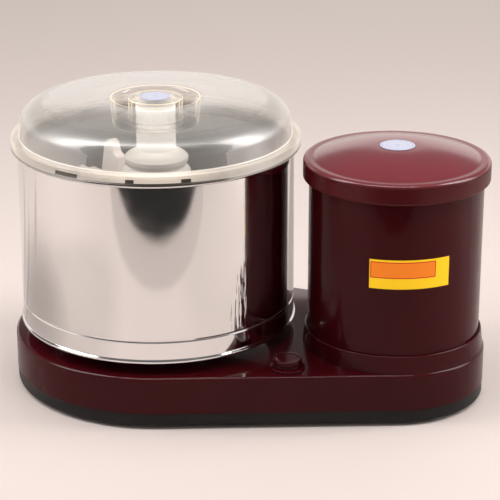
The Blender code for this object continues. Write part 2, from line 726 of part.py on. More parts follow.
def column_places():
    """Return the places of the screw columns, just inside the base wall."""
    wall = BASE_WALL + COLUMN_RADIUS + COLUMN_WALL_GAP
    places = at_angles(COLUMN_DRUM_ANGLES, BASE_DRUM_RADIUS - wall, (DRUM_X, 0))
    places += at_angles(COLUMN_TOWER_ANGLES, BASE_TOWER_RADIUS - wall, (TOWER_X, 0))
    return places


def bolt_places():
    """Return the places of the motor's through bolts."""
    return around(BOLT_COUNT, BOLT_REACH, (TOWER_X, 0), BOLT_START_ANGLE)


def foot_places():
    """Return the places of the four feet."""
    places = at_angles((FOOT_DRUM_ANGLE, -FOOT_DRUM_ANGLE), FOOT_DRUM_REACH, (DRUM_X, 0))
    places += at_angles((FOOT_TOWER_ANGLE, -FOOT_TOWER_ANGLE), FOOT_TOWER_REACH, (TOWER_X, 0))
    return places


def gland_place():
    """Return the gland's place on the rear wall's outer face and its heading about Z."""
    return (GLAND_X, rear_edge(GLAND_X), BASE_BOTTOM + GLAND_HEIGHT), math.pi / 2 - TAPER


def make_feet():
    """Rubber feet: a pad, a stem through the tray and a head that holds it there."""
    head_bottom = TRAY_FLOOR_TOP + SEAT_GAP
    head_top = head_bottom + FOOT_HEAD_HEIGHT
    profile = [(0, head_top), (FOOT_STEM_RADIUS, head_top), (FOOT_HEAD_RADIUS, head_bottom),
               (FOOT_STEM_RADIUS, head_bottom), (FOOT_STEM_RADIUS, FOOT_HEIGHT),
               (FOOT_RADIUS, FOOT_HEIGHT), (FOOT_RADIUS, FOOT_EDGE), (FOOT_RADIUS - FOOT_EDGE, 0), (0, 0)]
    for number, spot in enumerate(foot_places()):
        turned(f"rubber_foot_{number + 1}", profile, "black_rubber", spot, steps=SMALL_STEPS)


def make_tray():
    """Black bottom tray with its foot, screw and vent holes."""
    tray = plate("bottom_tray", [footprint(TRAY_INSET)], TRAY_BOTTOM, TRAY_TOP, "black_plastic")
    round_rim(tray, TRAY_BOTTOM, TRAY_EDGE, segments=1)
    hollow = plate("tray_hollow", [footprint(TRAY_INSET + TRAY_WALL)], TRAY_FLOOR_TOP, TRAY_TOP + CUT_OVERRUN)
    boolean(tray, hollow, "DIFFERENCE")
    low = TRAY_BOTTOM - CUT_OVERRUN
    high = TRAY_FLOOR_TOP + CUT_OVERRUN
    holes = pins("tray_foot_holes", foot_places(), FOOT_STEM_RADIUS + RUN_GAP, low, high)
    boolean(tray, holes, "DIFFERENCE")
    boolean(tray, pins("tray_screw_holes", column_places(), SCREW_RADIUS + RUN_GAP, low, high), "DIFFERENCE")
    boolean(tray, pins("rod_hole", [(DRUM_X, 0)], ROD_STUD_RADIUS + RUN_GAP, low, high), "DIFFERENCE")
    for i in range(VENT_COUNT):
        y = (i - (VENT_COUNT - 1) / 2) * VENT_PITCH
        slot = block(f"vent_cutter_{i + 1}", (TOWER_X - VENT_LENGTH / 2, y - VENT_WIDTH / 2, low),
                     (TOWER_X + VENT_LENGTH / 2, y + VENT_WIDTH / 2, high))
        boolean(tray, slot, "DIFFERENCE")
    add_cradle(tray)


def add_cradle(tray):
    """Add the two ribs that clip the capacitor to the tray."""
    half = CRADLE_THICKNESS / 2
    side = CAPACITOR_RADIUS + CRADLE_WALL
    for number, shift in enumerate((-CRADLE_REACH, CRADLE_REACH)):
        x = CAPACITOR_X + shift
        rib = block(f"cradle_rib_{number + 1}", (x - half, CAPACITOR_Y - side, TRAY_FLOOR_TOP - UNION_SINK),
                    (x + half, CAPACITOR_Y + side, CAPACITOR_Z + CRADLE_RISE))
        boolean(tray, rib, "UNION")
    length = CRADLE_REACH + CRADLE_THICKNESS
    room = turned("cradle_room", disc_profile(CAPACITOR_RADIUS + SEAT_GAP, -length, length),
                  location=(CAPACITOR_X, CAPACITOR_Y, CAPACITOR_Z), rotation=(0, math.pi / 2, 0),
                  steps=SMALL_STEPS)
    boolean(tray, room, "DIFFERENCE")


def make_screws():
    """Screws that hold the tray to the base's columns."""
    head_top = TRAY_BOTTOM - SEAT_GAP
    head_bottom = head_top - SCREW_HEAD_HEIGHT
    profile = [(0, TRAY_FLOOR_TOP + SCREW_GRIP), (SCREW_RADIUS, TRAY_FLOOR_TOP + SCREW_GRIP),
               (SCREW_RADIUS, head_top), (SCREW_HEAD_RADIUS, head_top), (SCREW_HEAD_RADIUS, head_bottom),
               (0, head_bottom)]
    for number, spot in enumerate(column_places()):
        turned(f"tray_screw_{number + 1}", profile, "machined_steel", spot, steps=TINY_STEPS)


def make_base():
    """Maroon base body: walls, deck, tower collar, screw columns and holes."""
    base = plate("base_body", [footprint(0)], BASE_BOTTOM, DECK_TOP, "maroon_gloss")
    round_rim(base, DECK_TOP, DECK_EDGE)
    cavity = plate("base_cavity", [footprint(BASE_WALL)], BASE_BOTTOM - CUT_OVERRUN, DECK_UNDER)
    boolean(base, cavity, "DIFFERENCE")
    foot = DECK_TOP - COLLAR_FOOT_DROP
    bore = CAN_RADIUS + RUN_GAP
    profile = [(bore, COLLAR_TOP), (COLLAR_TOP_RADIUS - COLLAR_TOP_EDGE, COLLAR_TOP),
               (COLLAR_TOP_RADIUS, COLLAR_TOP - COLLAR_TOP_EDGE),
               (BASE_TOWER_RADIUS - COLLAR_FOOT_INSET, foot), (bore, foot)]
    collar = turned("collar_ring", profile, location=(TOWER_X, 0, 0), steps=LARGE_STEPS)
    boolean(base, collar, "UNION")
    columns = pins("screw_columns", column_places(), COLUMN_RADIUS, TRAY_FLOOR_TOP + SEAT_GAP,
                   DECK_UNDER + UNION_SINK)
    boolean(base, columns, "UNION")
    low = DECK_UNDER - CUT_OVERRUN
    high = DECK_TOP + CUT_OVERRUN
    tower = pins("tower_opening", [(TOWER_X, 0)], TOWER_OPENING_RADIUS, low, high, sides=LARGE_STEPS)
    boolean(base, tower, "DIFFERENCE")
    housing = pins("housing_hole", [(DRUM_X, 0)], HOUSING_RADIUS + RUN_GAP, low, high, sides=MEDIUM_STEPS)
    boolean(base, housing, "DIFFERENCE")
    bolts = pins("motor_bolt_holes", bolt_places(), BOLT_RADIUS + RUN_GAP, low, high)
    boolean(base, bolts, "DIFFERENCE")
    switch = pins("switch_hole", [(SWITCH_X, SWITCH_Y)], SWITCH_NECK_RADIUS + RUN_GAP, low, high)
    boolean(base, switch, "DIFFERENCE")
    screws = pins("column_holes", column_places(), SCREW_RADIUS + RUN_GAP, TRAY_FLOOR_TOP - CUT_OVERRUN,
                  TRAY_FLOOR_TOP + SCREW_GRIP + SCREW_TIP_SPACE)
    boolean(base, screws, "DIFFERENCE")
    spot, heading = gland_place()
    profile = disc_profile(GLAND_BODY_RADIUS + RUN_GAP, -BASE_WALL - CUT_OVERRUN, CUT_OVERRUN)
    hole = turned("gland_hole", profile, location=spot, rotation=(0, math.pi / 2, heading), steps=SMALL_STEPS)
    boolean(base, hole, "DIFFERENCE")


def make_gland():
    """Open rubber gland in the rear wall, where the mains lead enters."""
    spot, heading = gland_place()
    inner = -BASE_WALL - GLAND_INNER_LENGTH
    profile = [(GLAND_BODY_RADIUS, GLAND_OUTER_LENGTH), (GLAND_FLANGE_RADIUS, GLAND_FLANGE + SEAT_GAP),
               (GLAND_FLANGE_RADIUS, SEAT_GAP), (GLAND_BODY_RADIUS, SEAT_GAP), (GLAND_BODY_RADIUS, inner),
               (GLAND_BORE, inner), (GLAND_BORE, GLAND_OUTER_LENGTH)]
    turned("cord_gland", profile, "black_rubber", spot, (0, math.pi / 2, heading), SMALL_STEPS)


def make_rod():
    """Fixed steel rod up the drum's middle; two flats at its top keep the roller holder still."""
    bottom = TRAY_FLOOR_TOP + SEAT_GAP
    foot_top = bottom + ROD_FOOT_THICKNESS
    profile = [(0, ROD_TOP), (ROD_RADIUS, ROD_TOP), (ROD_RADIUS, foot_top), (ROD_FOOT_RADIUS, foot_top),
               (ROD_FOOT_RADIUS, bottom), (ROD_STUD_RADIUS, bottom), (ROD_STUD_RADIUS, ROD_STUD_END),
               (0, ROD_STUD_END)]
    rod = turned("centre_rod", profile, "polished_steel", (DRUM_X, 0, 0), steps=SMALL_STEPS)
    start = HOLDER_BORE_TOP - ROD_FLAT_SPACE
    for side in (-1, 1):
        near, far = sorted((side * ROD_FLAT, side * (ROD_RADIUS + CUT_OVERRUN)))
        flat = block(f"rod_flat_{side + 1}", (-ROD_RADIUS - CUT_OVERRUN, near, start),
                     (ROD_RADIUS + CUT_OVERRUN, far, ROD_TOP + CUT_OVERRUN), location=(DRUM_X, 0, 0))
        boolean(rod, flat, "DIFFERENCE")
    nut_top = TRAY_BOTTOM - SEAT_GAP
    bore = (ROD_STUD_RADIUS + SEAT_GAP) / math.cos(math.pi / NUT_SIDES)
    nut = ring_profile(ROD_NUT_RADIUS, bore, nut_top - ROD_NUT_HEIGHT, nut_top)
    turned("rod_nut", nut, "machined_steel", (DRUM_X, 0, 0), steps=NUT_SIDES)


def make_housing():
    """Cast bearing housing, screwed down on the deck, with its two ball bearings."""
    middle = (DRUM_X, 0, 0)
    pocket = BEARING_RADIUS + SEAT_GAP
    shoulder = BEARING_RADIUS - BEARING_SHOULDER
    flange = DECK_TOP + SEAT_GAP
    upper = HOUSING_TOP - BEARING_WIDTH - SEAT_GAP
    lower = HOUSING_BOTTOM + BEARING_WIDTH + SEAT_GAP
    profile = [(pocket, HOUSING_TOP), (HOUSING_RADIUS, HOUSING_TOP),
               (HOUSING_RADIUS, flange + HOUSING_FLANGE),
               (HOUSING_FLANGE_RADIUS, flange + HOUSING_FLANGE), (HOUSING_FLANGE_RADIUS, flange),
               (HOUSING_RADIUS, flange), (HOUSING_RADIUS, HOUSING_BOTTOM), (pocket, HOUSING_BOTTOM),
               (pocket, lower), (shoulder, lower), (shoulder, upper), (pocket, upper)]
    turned("bearing_housing", profile, "cast_aluminium", middle, steps=INNER_STEPS)
    nut_top = DECK_UNDER - SEAT_GAP
    profile = ring_profile(HOUSING_NUT_RADIUS, HOUSING_RADIUS + SEAT_GAP, nut_top - HOUSING_NUT_HEIGHT,
                           nut_top)
    turned("housing_nut", profile, "machined_steel", middle, steps=INNER_STEPS)
    bore = (SPINDLE_RADIUS + SEAT_GAP) / INNER_FLAT_SHARE
    for side, bottom in (("upper", HOUSING_TOP - BEARING_WIDTH), ("lower", HOUSING_BOTTOM)):
        turned(f"{side}_spindle_bearing", ring_profile(BEARING_RADIUS, bore, bottom, bottom + BEARING_WIDTH),
               "machined_steel", middle, steps=INNER_STEPS)


def make_spindle():
    """Hollow spindle with its pulley and coupling, which turn the drum."""
    middle = (DRUM_X, 0, 0)
    top = COUPLING_TOP - COUPLING_LIP - SEAT_GAP
    bottom = PULLEY_HUB_BOTTOM - SPINDLE_TAIL
    collar_top = HOUSING_TOP - BEARING_WIDTH - SEAT_GAP
    collar_bottom = HOUSING_BOTTOM + BEARING_WIDTH + SEAT_GAP
    profile = [(SPINDLE_BORE, top), (SPINDLE_RADIUS, top), (SPINDLE_RADIUS, collar_top),
               (SPINDLE_COLLAR_RADIUS, collar_top), (SPINDLE_COLLAR_RADIUS, collar_bottom),
               (SPINDLE_RADIUS, collar_bottom), (SPINDLE_RADIUS, bottom), (SPINDLE_BORE, bottom)]
    spindle = turned("spindle", profile, "machined_steel", middle, steps=INNER_STEPS)
    bore = SPINDLE_RADIUS + SEAT_GAP
    return spindle, make_drive_pulley(middle, bore), make_drive_coupling(middle, bore)


def make_drive_pulley(middle, bore):
    """Large belt pulley: hub, web and flanged rim."""
    face = DRIVE_PITCH_RADIUS - BELT_THICKNESS / 2 - RUN_GAP
    flange = DRIVE_PITCH_RADIUS + BELT_THICKNESS / 2 + PULLEY_FLANGE_RISE
    half = BELT_WIDTH / 2 + RUN_GAP
    web = PULLEY_WEB / 2
    inner = face - PULLEY_RIM
    profile = [(bore, PULLEY_HUB_TOP), (PULLEY_HUB_RADIUS, PULLEY_HUB_TOP), (PULLEY_HUB_RADIUS, BELT_Z + web),
               (inner, BELT_Z + web), (inner, BELT_Z + half + PULLEY_FLANGE),
               (flange, BELT_Z + half + PULLEY_FLANGE), (flange, BELT_Z + half), (face, BELT_Z + half),
               (face, BELT_Z - half), (flange, BELT_Z - half), (flange, BELT_Z - half - PULLEY_FLANGE),
               (inner, BELT_Z - half - PULLEY_FLANGE), (inner, BELT_Z - web),
               (PULLEY_HUB_RADIUS, BELT_Z - web), (PULLEY_HUB_RADIUS, PULLEY_HUB_BOTTOM),
               (bore, PULLEY_HUB_BOTTOM)]
    return turned("drive_pulley", profile, "cast_aluminium", middle)


def make_drive_coupling(middle, bore):
    """Coupling disc on the spindle, with pins that enter the drum."""
    bottom = HOUSING_TOP + SEAT_GAP
    lip = COUPLING_TOP - COUPLING_LIP
    eye = SPINDLE_BORE
    profile = [(eye, COUPLING_TOP), (COUPLING_RADIUS, COUPLING_TOP), (COUPLING_RADIUS, COUPLING_DISC_BOTTOM),
               (COUPLING_HUB_RADIUS, COUPLING_DISC_BOTTOM), (COUPLING_HUB_RADIUS, bottom), (bore, bottom),
               (bore, lip), (eye, lip)]
    coupling = turned("drive_coupling", profile, "cast_aluminium", middle, steps=INNER_STEPS)
    lugs = pins("drive_pins", around(DRIVE_PIN_COUNT, DRIVE_PIN_REACH, middle), DRIVE_PIN_RADIUS,
                COUPLING_TOP - UNION_SINK, COUPLING_TOP + DRIVE_PIN_HEIGHT)
    return boolean(coupling, lugs, "UNION")


def belt_outline(offset):
    """Return the belt's path round both pulleys at an offset from its pitch line."""
    spread = 90 - math.degrees(math.asin((DRIVE_PITCH_RADIUS - MOTOR_PITCH_RADIUS) / AXIS_DISTANCE))
    points = arc((TOWER_X, 0), (MOTOR_PITCH_RADIUS + offset,) * 2, -spread, spread, BELT_MOTOR_STEPS)
    points += arc((DRUM_X, 0), (DRIVE_PITCH_RADIUS + offset,) * 2, spread, FULL_TURN - spread, BELT_DRUM_STEPS)
    return points


def make_belt():
    """Flat drive belt round both pulleys."""
    half = BELT_THICKNESS / 2
    plate("drive_belt", [belt_outline(half), belt_outline(-half)], BELT_Z - BELT_WIDTH / 2,
          BELT_Z + BELT_WIDTH / 2, "black_rubber")


def make_drum():
    """Steel drum: rolled wall, bottom pan, coupling plate, base stone, centre tube and clamp nut."""
    middle = (DRUM_X, 0, 0)
    bead = arc((DRUM_RADIUS + RIM_BEAD_OFFSET, RIM_BEAD_Z), (RIM_BEAD_RADIUS,) * 2, RIM_BEAD_START,
               RIM_BEAD_END, RIM_BEAD_STEPS)
    groove = PAN_BOTTOM - GROOVE_BELOW_PAN
    foot = DRUM_RADIUS + FOOT_BEAD_WIDTH
    profile = bead + [(DRUM_RADIUS, RIM_BEAD_Z - RIM_BEAD_OFFSET), (DRUM_RADIUS, groove + GROOVE_HALF_WIDTH),
                      (DRUM_RADIUS - GROOVE_DEPTH, groove), (DRUM_RADIUS, groove - GROOVE_HALF_WIDTH),
                      (DRUM_RADIUS, SKIRT_BOTTOM + FOOT_BEAD_HEIGHT + FOOT_BEAD_SLOPE),
                      (foot, SKIRT_BOTTOM + FOOT_BEAD_HEIGHT), (foot, SKIRT_BOTTOM + FOOT_BEAD_EDGE),
                      (foot - FOOT_BEAD_EDGE, SKIRT_BOTTOM), (DRUM_INNER_RADIUS, SKIRT_BOTTOM),
                      (DRUM_INNER_RADIUS, RIM_BEAD_Z - RIM_BEAD_RADIUS)]
    wall = turned("drum_wall", profile, "polished_steel", middle, steps=LARGE_STEPS)
    rim = DRUM_INNER_RADIUS - SEAT_GAP
    eye = TUBE_RADIUS - TUBE_SHEET
    profile = [(rim - DRUM_SHEET, PAN_BOTTOM + PAN_FLANGE_HEIGHT), (rim, PAN_BOTTOM + PAN_FLANGE_HEIGHT),
               (rim, PAN_BOTTOM), (eye, PAN_BOTTOM), (eye, PAN_TOP), (rim - DRUM_SHEET, PAN_TOP)]
    pan = turned("drum_pan", profile, "polished_steel", middle, steps=LARGE_STEPS)
    plate_top = PAN_BOTTOM - SEAT_GAP
    driven = turned("drum_coupling", ring_profile(DRUM_COUPLING_RADIUS, eye, DRUM_COUPLING_BOTTOM, plate_top),
                    "cast_aluminium", middle, steps=INNER_STEPS)
    sockets = pins("pin_sockets", around(DRIVE_PIN_COUNT, DRIVE_PIN_REACH, middle),
                   DRIVE_PIN_RADIUS + 2 * RUN_GAP, DRUM_COUPLING_BOTTOM - CUT_OVERRUN,
                   plate_top + CUT_OVERRUN)
    boolean(driven, sockets, "DIFFERENCE")
    hole = TUBE_RADIUS + TUBE_FOOT_WIDTH + RUN_GAP
    profile = [(hole, STONE_TOP), (STONE_RADIUS - STONE_EDGE, STONE_TOP),
               (STONE_RADIUS, STONE_TOP - STONE_EDGE), (STONE_RADIUS, STONE_BOTTOM), (hole, STONE_BOTTOM)]
    stone = turned("base_stone", profile, "grey_granite", middle, steps=LARGE_STEPS)
    foot_top = STONE_BOTTOM + TUBE_FOOT_HEIGHT
    profile = [(eye, TUBE_TOP), (TUBE_RADIUS, TUBE_TOP), (TUBE_RADIUS, foot_top),
               (TUBE_RADIUS + TUBE_FOOT_WIDTH, foot_top), (TUBE_RADIUS + TUBE_FOOT_WIDTH, STONE_BOTTOM),
               (eye, STONE_BOTTOM)]
    tube = turned("centre_tube", profile, "polished_steel", middle)
    bottom = STONE_TOP + SEAT_GAP
    profile = [(TUBE_RADIUS + SEAT_GAP, CLAMP_NUT_TOP), (CLAMP_NUT_RADIUS - CLAMP_NUT_EDGE, CLAMP_NUT_TOP),
               (CLAMP_NUT_RADIUS, CLAMP_NUT_TOP - CLAMP_NUT_EDGE), (CLAMP_NUT_RADIUS, bottom),
               (TUBE_RADIUS + SEAT_GAP, bottom)]
    nut = turned("stone_clamp_nut", profile, "white_nylon", middle)
    return wall, pan, driven, stone, tube, nut


def outward(heading, reach=0):
    """Return a place on the axle line and the rotation that lays local Z along it."""
    angle = math.radians(heading)
    spot = (DRUM_X + reach * math.cos(angle), reach * math.sin(angle), AXLE_Z)
    return spot, (0, math.pi / 2, angle)


def make_roller(side, heading):
    """Granite roller with its bush; both turn on the axle."""
    spot, rotation = outward(heading)
    inner = ROLLER_INNER_REACH
    outer = ROLLER_OUTER_REACH
    bore = BUSH_RADIUS + SEAT_GAP
    profile = [(bore, outer), (ROLLER_RADIUS - ROLLER_EDGE, outer), (ROLLER_RADIUS, outer - ROLLER_EDGE),
               (ROLLER_RADIUS, inner + ROLLER_EDGE), (ROLLER_RADIUS - ROLLER_EDGE, inner), (bore, inner)]
    stone = turned(f"{side}_roller_stone", profile, "grey_granite", spot, rotation)
    flange = inner - SEAT_GAP
    eye = AXLE_RADIUS + SEAT_GAP
    profile = [(eye, outer + BUSH_END), (BUSH_RADIUS, outer + BUSH_END), (BUSH_RADIUS, flange),
               (BUSH_FLANGE_RADIUS, flange), (BUSH_FLANGE_RADIUS, flange - BUSH_FLANGE),
               (eye, flange - BUSH_FLANGE)]
    bush = turned(f"{side}_roller_bush", profile, "white_nylon", spot, rotation, SMALL_STEPS)
    return stone, bush


def make_axle(side, heading):
    """Steel axle bolt of one roller, screwed into the holder; its head keeps the roller on."""
    spot, rotation = outward(heading)
    head = ROLLER_OUTER_REACH + BUSH_END + SEAT_GAP
    end = head + AXLE_HEAD_HEIGHT
    profile = [(0, end), (AXLE_HEAD_RADIUS, end), (AXLE_HEAD_RADIUS, head), (AXLE_RADIUS, head),
               (AXLE_RADIUS, AXLE_DEPTH), (0, AXLE_DEPTH)]
    return turned(f"{side}_axle_bolt", profile, "polished_steel", spot, rotation, SMALL_STEPS)


def double_d(radius, flat):
    """Return the outline of a round hole with two flats across Y."""
    angle = math.degrees(math.asin(flat / radius))
    points = arc((0, 0), (radius, radius), -angle, angle, FLAT_ARC_STEPS)
    points += arc((0, 0), (radius, radius), 180 - angle, 180 + angle, FLAT_ARC_STEPS)
    return points


def make_holder(headings):
    """White nylon roller holder: body on the rod, and the grip screwed on its spigot."""
    middle = (DRUM_X, 0, 0)
    bore = TUBE_RADIUS + HOLDER_BORE_GAP
    spigot_top = HOLDER_TOP + SPIGOT_HEIGHT
    profile = [(0, spigot_top), (SPIGOT_RADIUS, spigot_top), (SPIGOT_RADIUS, HOLDER_TOP),
               (HOLDER_UPPER_RADIUS, HOLDER_TOP), (HOLDER_UPPER_RADIUS, HOLDER_STEP_Z),
               (HOLDER_LOWER_RADIUS, HOLDER_STEP_Z), (HOLDER_LOWER_RADIUS, HOLDER_BOTTOM + HOLDER_EDGE),
               (HOLDER_LOWER_RADIUS - HOLDER_EDGE, HOLDER_BOTTOM), (bore, HOLDER_BOTTOM),
               (bore, HOLDER_BORE_TOP), (0, HOLDER_BORE_TOP)]
    body = turned("holder_body", profile, "white_nylon", middle)
    for number, heading in enumerate(headings):
        spot, rotation = outward(heading)
        profile = disc_profile(BOSS_RADIUS, HOLDER_LOWER_RADIUS - HOLDER_EDGE * 2, BOSS_END)
        boss = turned(f"axle_boss_{number + 1}", profile, location=spot, rotation=rotation, steps=INNER_STEPS)
        boolean(body, boss, "UNION")
        profile = disc_profile(AXLE_RADIUS + SEAT_GAP, AXLE_DEPTH - SEAT_GAP, BOSS_END + CUT_OVERRUN)
        hole = turned(f"axle_hole_{number + 1}", profile, location=spot, rotation=rotation, steps=SMALL_STEPS)
        boolean(body, hole, "DIFFERENCE")
    keyway = plate("rod_keyway", [double_d(ROD_RADIUS + SEAT_GAP, ROD_FLAT + SEAT_GAP)],
                   HOLDER_BORE_TOP - CUT_OVERRUN, spigot_top + CUT_OVERRUN, location=middle)
    boolean(body, keyway, "DIFFERENCE")
    low = GRIP_BOTTOM
    disc = low + GRIP_DISC_HEIGHT
    socket = SPIGOT_RADIUS + SEAT_GAP
    socket_top = spigot_top + HOLDER_EDGE
    hole = ROD_RADIUS + HOLDER_BORE_GAP
    hole_top = ROD_TOP + HOLDER_EDGE
    profile = [(0, GRIP_TOP), (GRIP_STEM_RADIUS - GRIP_STEM_EDGE, GRIP_TOP),
               (GRIP_STEM_RADIUS, GRIP_TOP - GRIP_STEM_EDGE), (GRIP_STEM_RADIUS, low + GRIP_CONE_HEIGHT),
               (GRIP_DISC_RADIUS - GRIP_DISC_EDGE, disc + 2 * GRIP_DISC_EDGE),
               (GRIP_DISC_RADIUS, disc + GRIP_DISC_EDGE),
               (GRIP_DISC_RADIUS, disc - GRIP_DISC_EDGE), (GRIP_NECK_RADIUS, low + GRIP_NECK_HEIGHT),
               (GRIP_FLARE_RADIUS, low + GRIP_FLARE_HEIGHT), (HOLDER_UPPER_RADIUS, low), (socket, low),
               (socket, socket_top), (hole, socket_top), (hole, hole_top), (0, hole_top)]
    grip = turned("holder_grip", profile, "white_nylon", middle)
    return body, grip


def make_wiper():
    """Nylon wiper: an arm clamped on the holder with an upright tongue, and a blade near the wall."""
    middle = (DRUM_X, 0, 0)
    heading = (0, 0, math.radians(WIPER_AZIMUTH))
    low = HOLDER_STEP_Z + SEAT_GAP
    high = low + WIPER_ARM_HEIGHT
    bore = HOLDER_UPPER_RADIUS + SEAT_GAP
    half = WIPER_ARM_WIDTH / 2
    wall = DRUM_INNER_RADIUS - WIPER_WALL_GAP
    profile = ring_profile(bore + WIPER_RING_WIDTH, bore, low, high)
    arm = turned("wiper", profile, "white_nylon", middle, heading)
    bar = block("wiper_bar", (bore + WIPER_RING_WIDTH - UNION_SINK, -half, low),
                (wall - WIPER_BLADE_OVERHANG, half, high), location=middle, rotation=heading)
    boolean(arm, bar, "UNION")
    side = WIPER_TONGUE_WIDTH / 2
    crown = high + WIPER_TONGUE_RISE - side
    outline = [(WIPER_TONGUE_REACH - side, low + half), (WIPER_TONGUE_REACH + side, low + half)]
    outline += arc((WIPER_TONGUE_REACH, crown), (side, side), 0, 180, WIPER_TONGUE_STEPS)
    thick = WIPER_TONGUE_THICKNESS / 2
    tongue = plate("wiper_tongue", [outline], -thick, thick, location=middle,
                   rotation=(math.pi / 2, 0, heading[2]))
    boolean(arm, tongue, "UNION")
    blade = block("wiper_blade", (wall - WIPER_BLADE_LENGTH, half - UNION_SINK, STONE_TOP + WIPER_STONE_GAP),
                  (wall, half + WIPER_BLADE_THICKNESS, high), location=middle, rotation=heading)
    return boolean(arm, blade, "UNION")


def lid_profile():
    """Return the lid's profile: knob, well and dome above, lip, rib and hollow below."""
    knob_top = DOME_TOP_Z
    well = WELL_RADIUS - WELL_TAPER
    outer = [(0, knob_top), (KNOB_RADIUS - KNOB_EDGE, knob_top), (KNOB_RADIUS, knob_top - KNOB_EDGE),
             (KNOB_RADIUS, WELL_FLOOR_Z), (well, WELL_FLOOR_Z),
             (WELL_RADIUS, knob_top - WELL_RIM_EDGE / 2), (WELL_RADIUS + WELL_RIM_EDGE, knob_top),
             (DOME_MIDDLE_RADIUS, DOME_CROWN_Z + DOME_MIDDLE_RISE)]
    spread = DOME_SHOULDER_RADIUS - DOME_CROWN_RADIUS
    outer += arc((DOME_CROWN_RADIUS, DOME_SHOULDER_Z), (spread, DOME_CROWN_RISE), 90, 0, DOME_STEPS)
    lip_foot = LID_LIP_RADIUS - LID_LIP_TAPER
    bead = DRUM_RADIUS + RIM_BEAD_OFFSET + RIM_BEAD_RADIUS + RUN_GAP
    rib = DRUM_INNER_RADIUS - LID_RIB_GAP
    outer += [(DOME_FOOT_RADIUS, LID_LIP_TOP), (LID_LIP_RADIUS - LID_LIP_EDGE, LID_LIP_TOP),
              (LID_LIP_RADIUS, LID_LIP_TOP - LID_LIP_EDGE), (lip_foot, LID_LIP_BOTTOM),
              (bead, LID_LIP_BOTTOM), (bead, LID_SEAT_Z), (rib, LID_SEAT_Z),
              (rib, LID_SEAT_Z - LID_RIB_DEPTH),
              (rib - LID_RIB_WIDTH, LID_SEAT_Z - LID_RIB_DEPTH)]
    inner = [(DOME_FOOT_RADIUS - LID_SHEET, LID_LIP_TOP)]
    inner += arc((DOME_CROWN_RADIUS, DOME_SHOULDER_Z), (spread - LID_SHEET, DOME_CROWN_RISE - LID_SHEET),
                 0, 90, DOME_STEPS)
    inner += [(DOME_MIDDLE_RADIUS, DOME_CROWN_Z + DOME_MIDDLE_RISE - LID_SHEET),
              (WELL_RADIUS + WELL_RIM_EDGE + LID_SHEET, DOME_TOP_Z - LID_SHEET),
              (WELL_RADIUS + LID_SHEET, DOME_TOP_Z - LID_SHEET - WELL_RIM_EDGE),
              (well + LID_SHEET, WELL_FLOOR_Z), (well, WELL_FLOOR_Z - LID_SHEET),
              (KNOB_RADIUS - LID_SHEET, WELL_FLOOR_Z - LID_SHEET), (KNOB_RADIUS - LID_SHEET, KNOB_HOLLOW_TOP),
              (0, KNOB_HOLLOW_TOP)]
    return outer + inner


def make_lid():
    """Clear lid with its sunken knob, and the round sticker on the knob."""
    middle = (DRUM_X, 0, 0)
    lid = turned("lid", lid_profile(), "clear_lid", middle, steps=LARGE_STEPS)
    low = DOME_TOP_Z + SEAT_GAP
    profile = disc_profile(LID_STICKER_RADIUS, low, low + STICKER_THICKNESS)
    sticker = turned("lid_sticker", profile, "pale_sticker", middle)
    return lid, sticker


def make_tower():
    """Motor can, its domed cap, the round sticker and the side label."""
    middle = (TOWER_X, 0, 0)
    turned("motor_can", ring_profile(CAN_RADIUS, CAN_RADIUS - CAN_SHEET, CAN_BOTTOM, CAN_TOP), "maroon_gloss",
           middle, steps=LARGE_STEPS)
    skirt = CAN_TOP - CAP_SKIRT
    rim = CAP_SEAT_Z + CAP_RIM_RISE
    crease = CAP_SEAT_Z + CAP_CREASE_RISE
    pad = CAP_STICKER_RADIUS + 2 * SEAT_GAP
    outer = [(0, CAP_TOP_Z), (pad, CAP_TOP_Z)]
    for i in range(1, CAP_DOME_STEPS + 1):
        share = i / CAP_DOME_STEPS
        radius = pad + (CAP_CREASE_RADIUS - pad) * share
        outer.append((radius, CAP_TOP_Z - CAP_DOME_RISE * share ** 2))
    outer += arc((CAP_RADIUS - CAP_RIM_EDGE, rim - CAP_RIM_EDGE), (CAP_RIM_EDGE,) * 2, 90, 0, EDGE_SEGMENTS)
    outer.append((CAP_RADIUS, skirt))
    inner_radius = CAP_RADIUS - CAP_SHEET
    inner = [(inner_radius, skirt), (inner_radius, CAP_SEAT_Z - CAP_SHEET / 2),
             (inner_radius - CAP_SHEET / 2, CAP_SEAT_Z),
             (CAN_RADIUS - CAN_SHEET - CAP_SEAT_WIDTH, CAP_SEAT_Z),
             (CAP_CREASE_RADIUS - CAP_SHEET, crease - CAP_SHEET)]
    for i in range(CAP_DOME_STEPS - 1, 0, -1):
        share = i / CAP_DOME_STEPS
        radius = pad + (CAP_CREASE_RADIUS - pad) * share
        inner.append((radius, CAP_TOP_Z - CAP_DOME_RISE * share ** 2 - CAP_SHEET))
    inner.append((0, CAP_TOP_Z - CAP_SHEET))
    turned("motor_cap", outer + inner, "maroon_gloss", middle, steps=LARGE_STEPS)
    low = CAP_TOP_Z + SEAT_GAP
    profile = disc_profile(CAP_STICKER_RADIUS, low, low + STICKER_THICKNESS)
    turned("cap_sticker", profile, "pale_sticker", middle)
    near = CAN_RADIUS + SEAT_GAP
    far = near + LABEL_THICKNESS
    start = LABEL_START_ANGLE - 90
    end = LABEL_END_ANGLE - 90
    outline = arc((0, 0), (far, far), start, end, LABEL_STEPS)
    outline += arc((0, 0), (near, near), end, start, LABEL_STEPS)
    label_bottom = CAN_BOTTOM + LABEL_RISE
    plate("side_label", [outline], label_bottom, label_bottom + LABEL_HEIGHT, "yellow_label", middle)


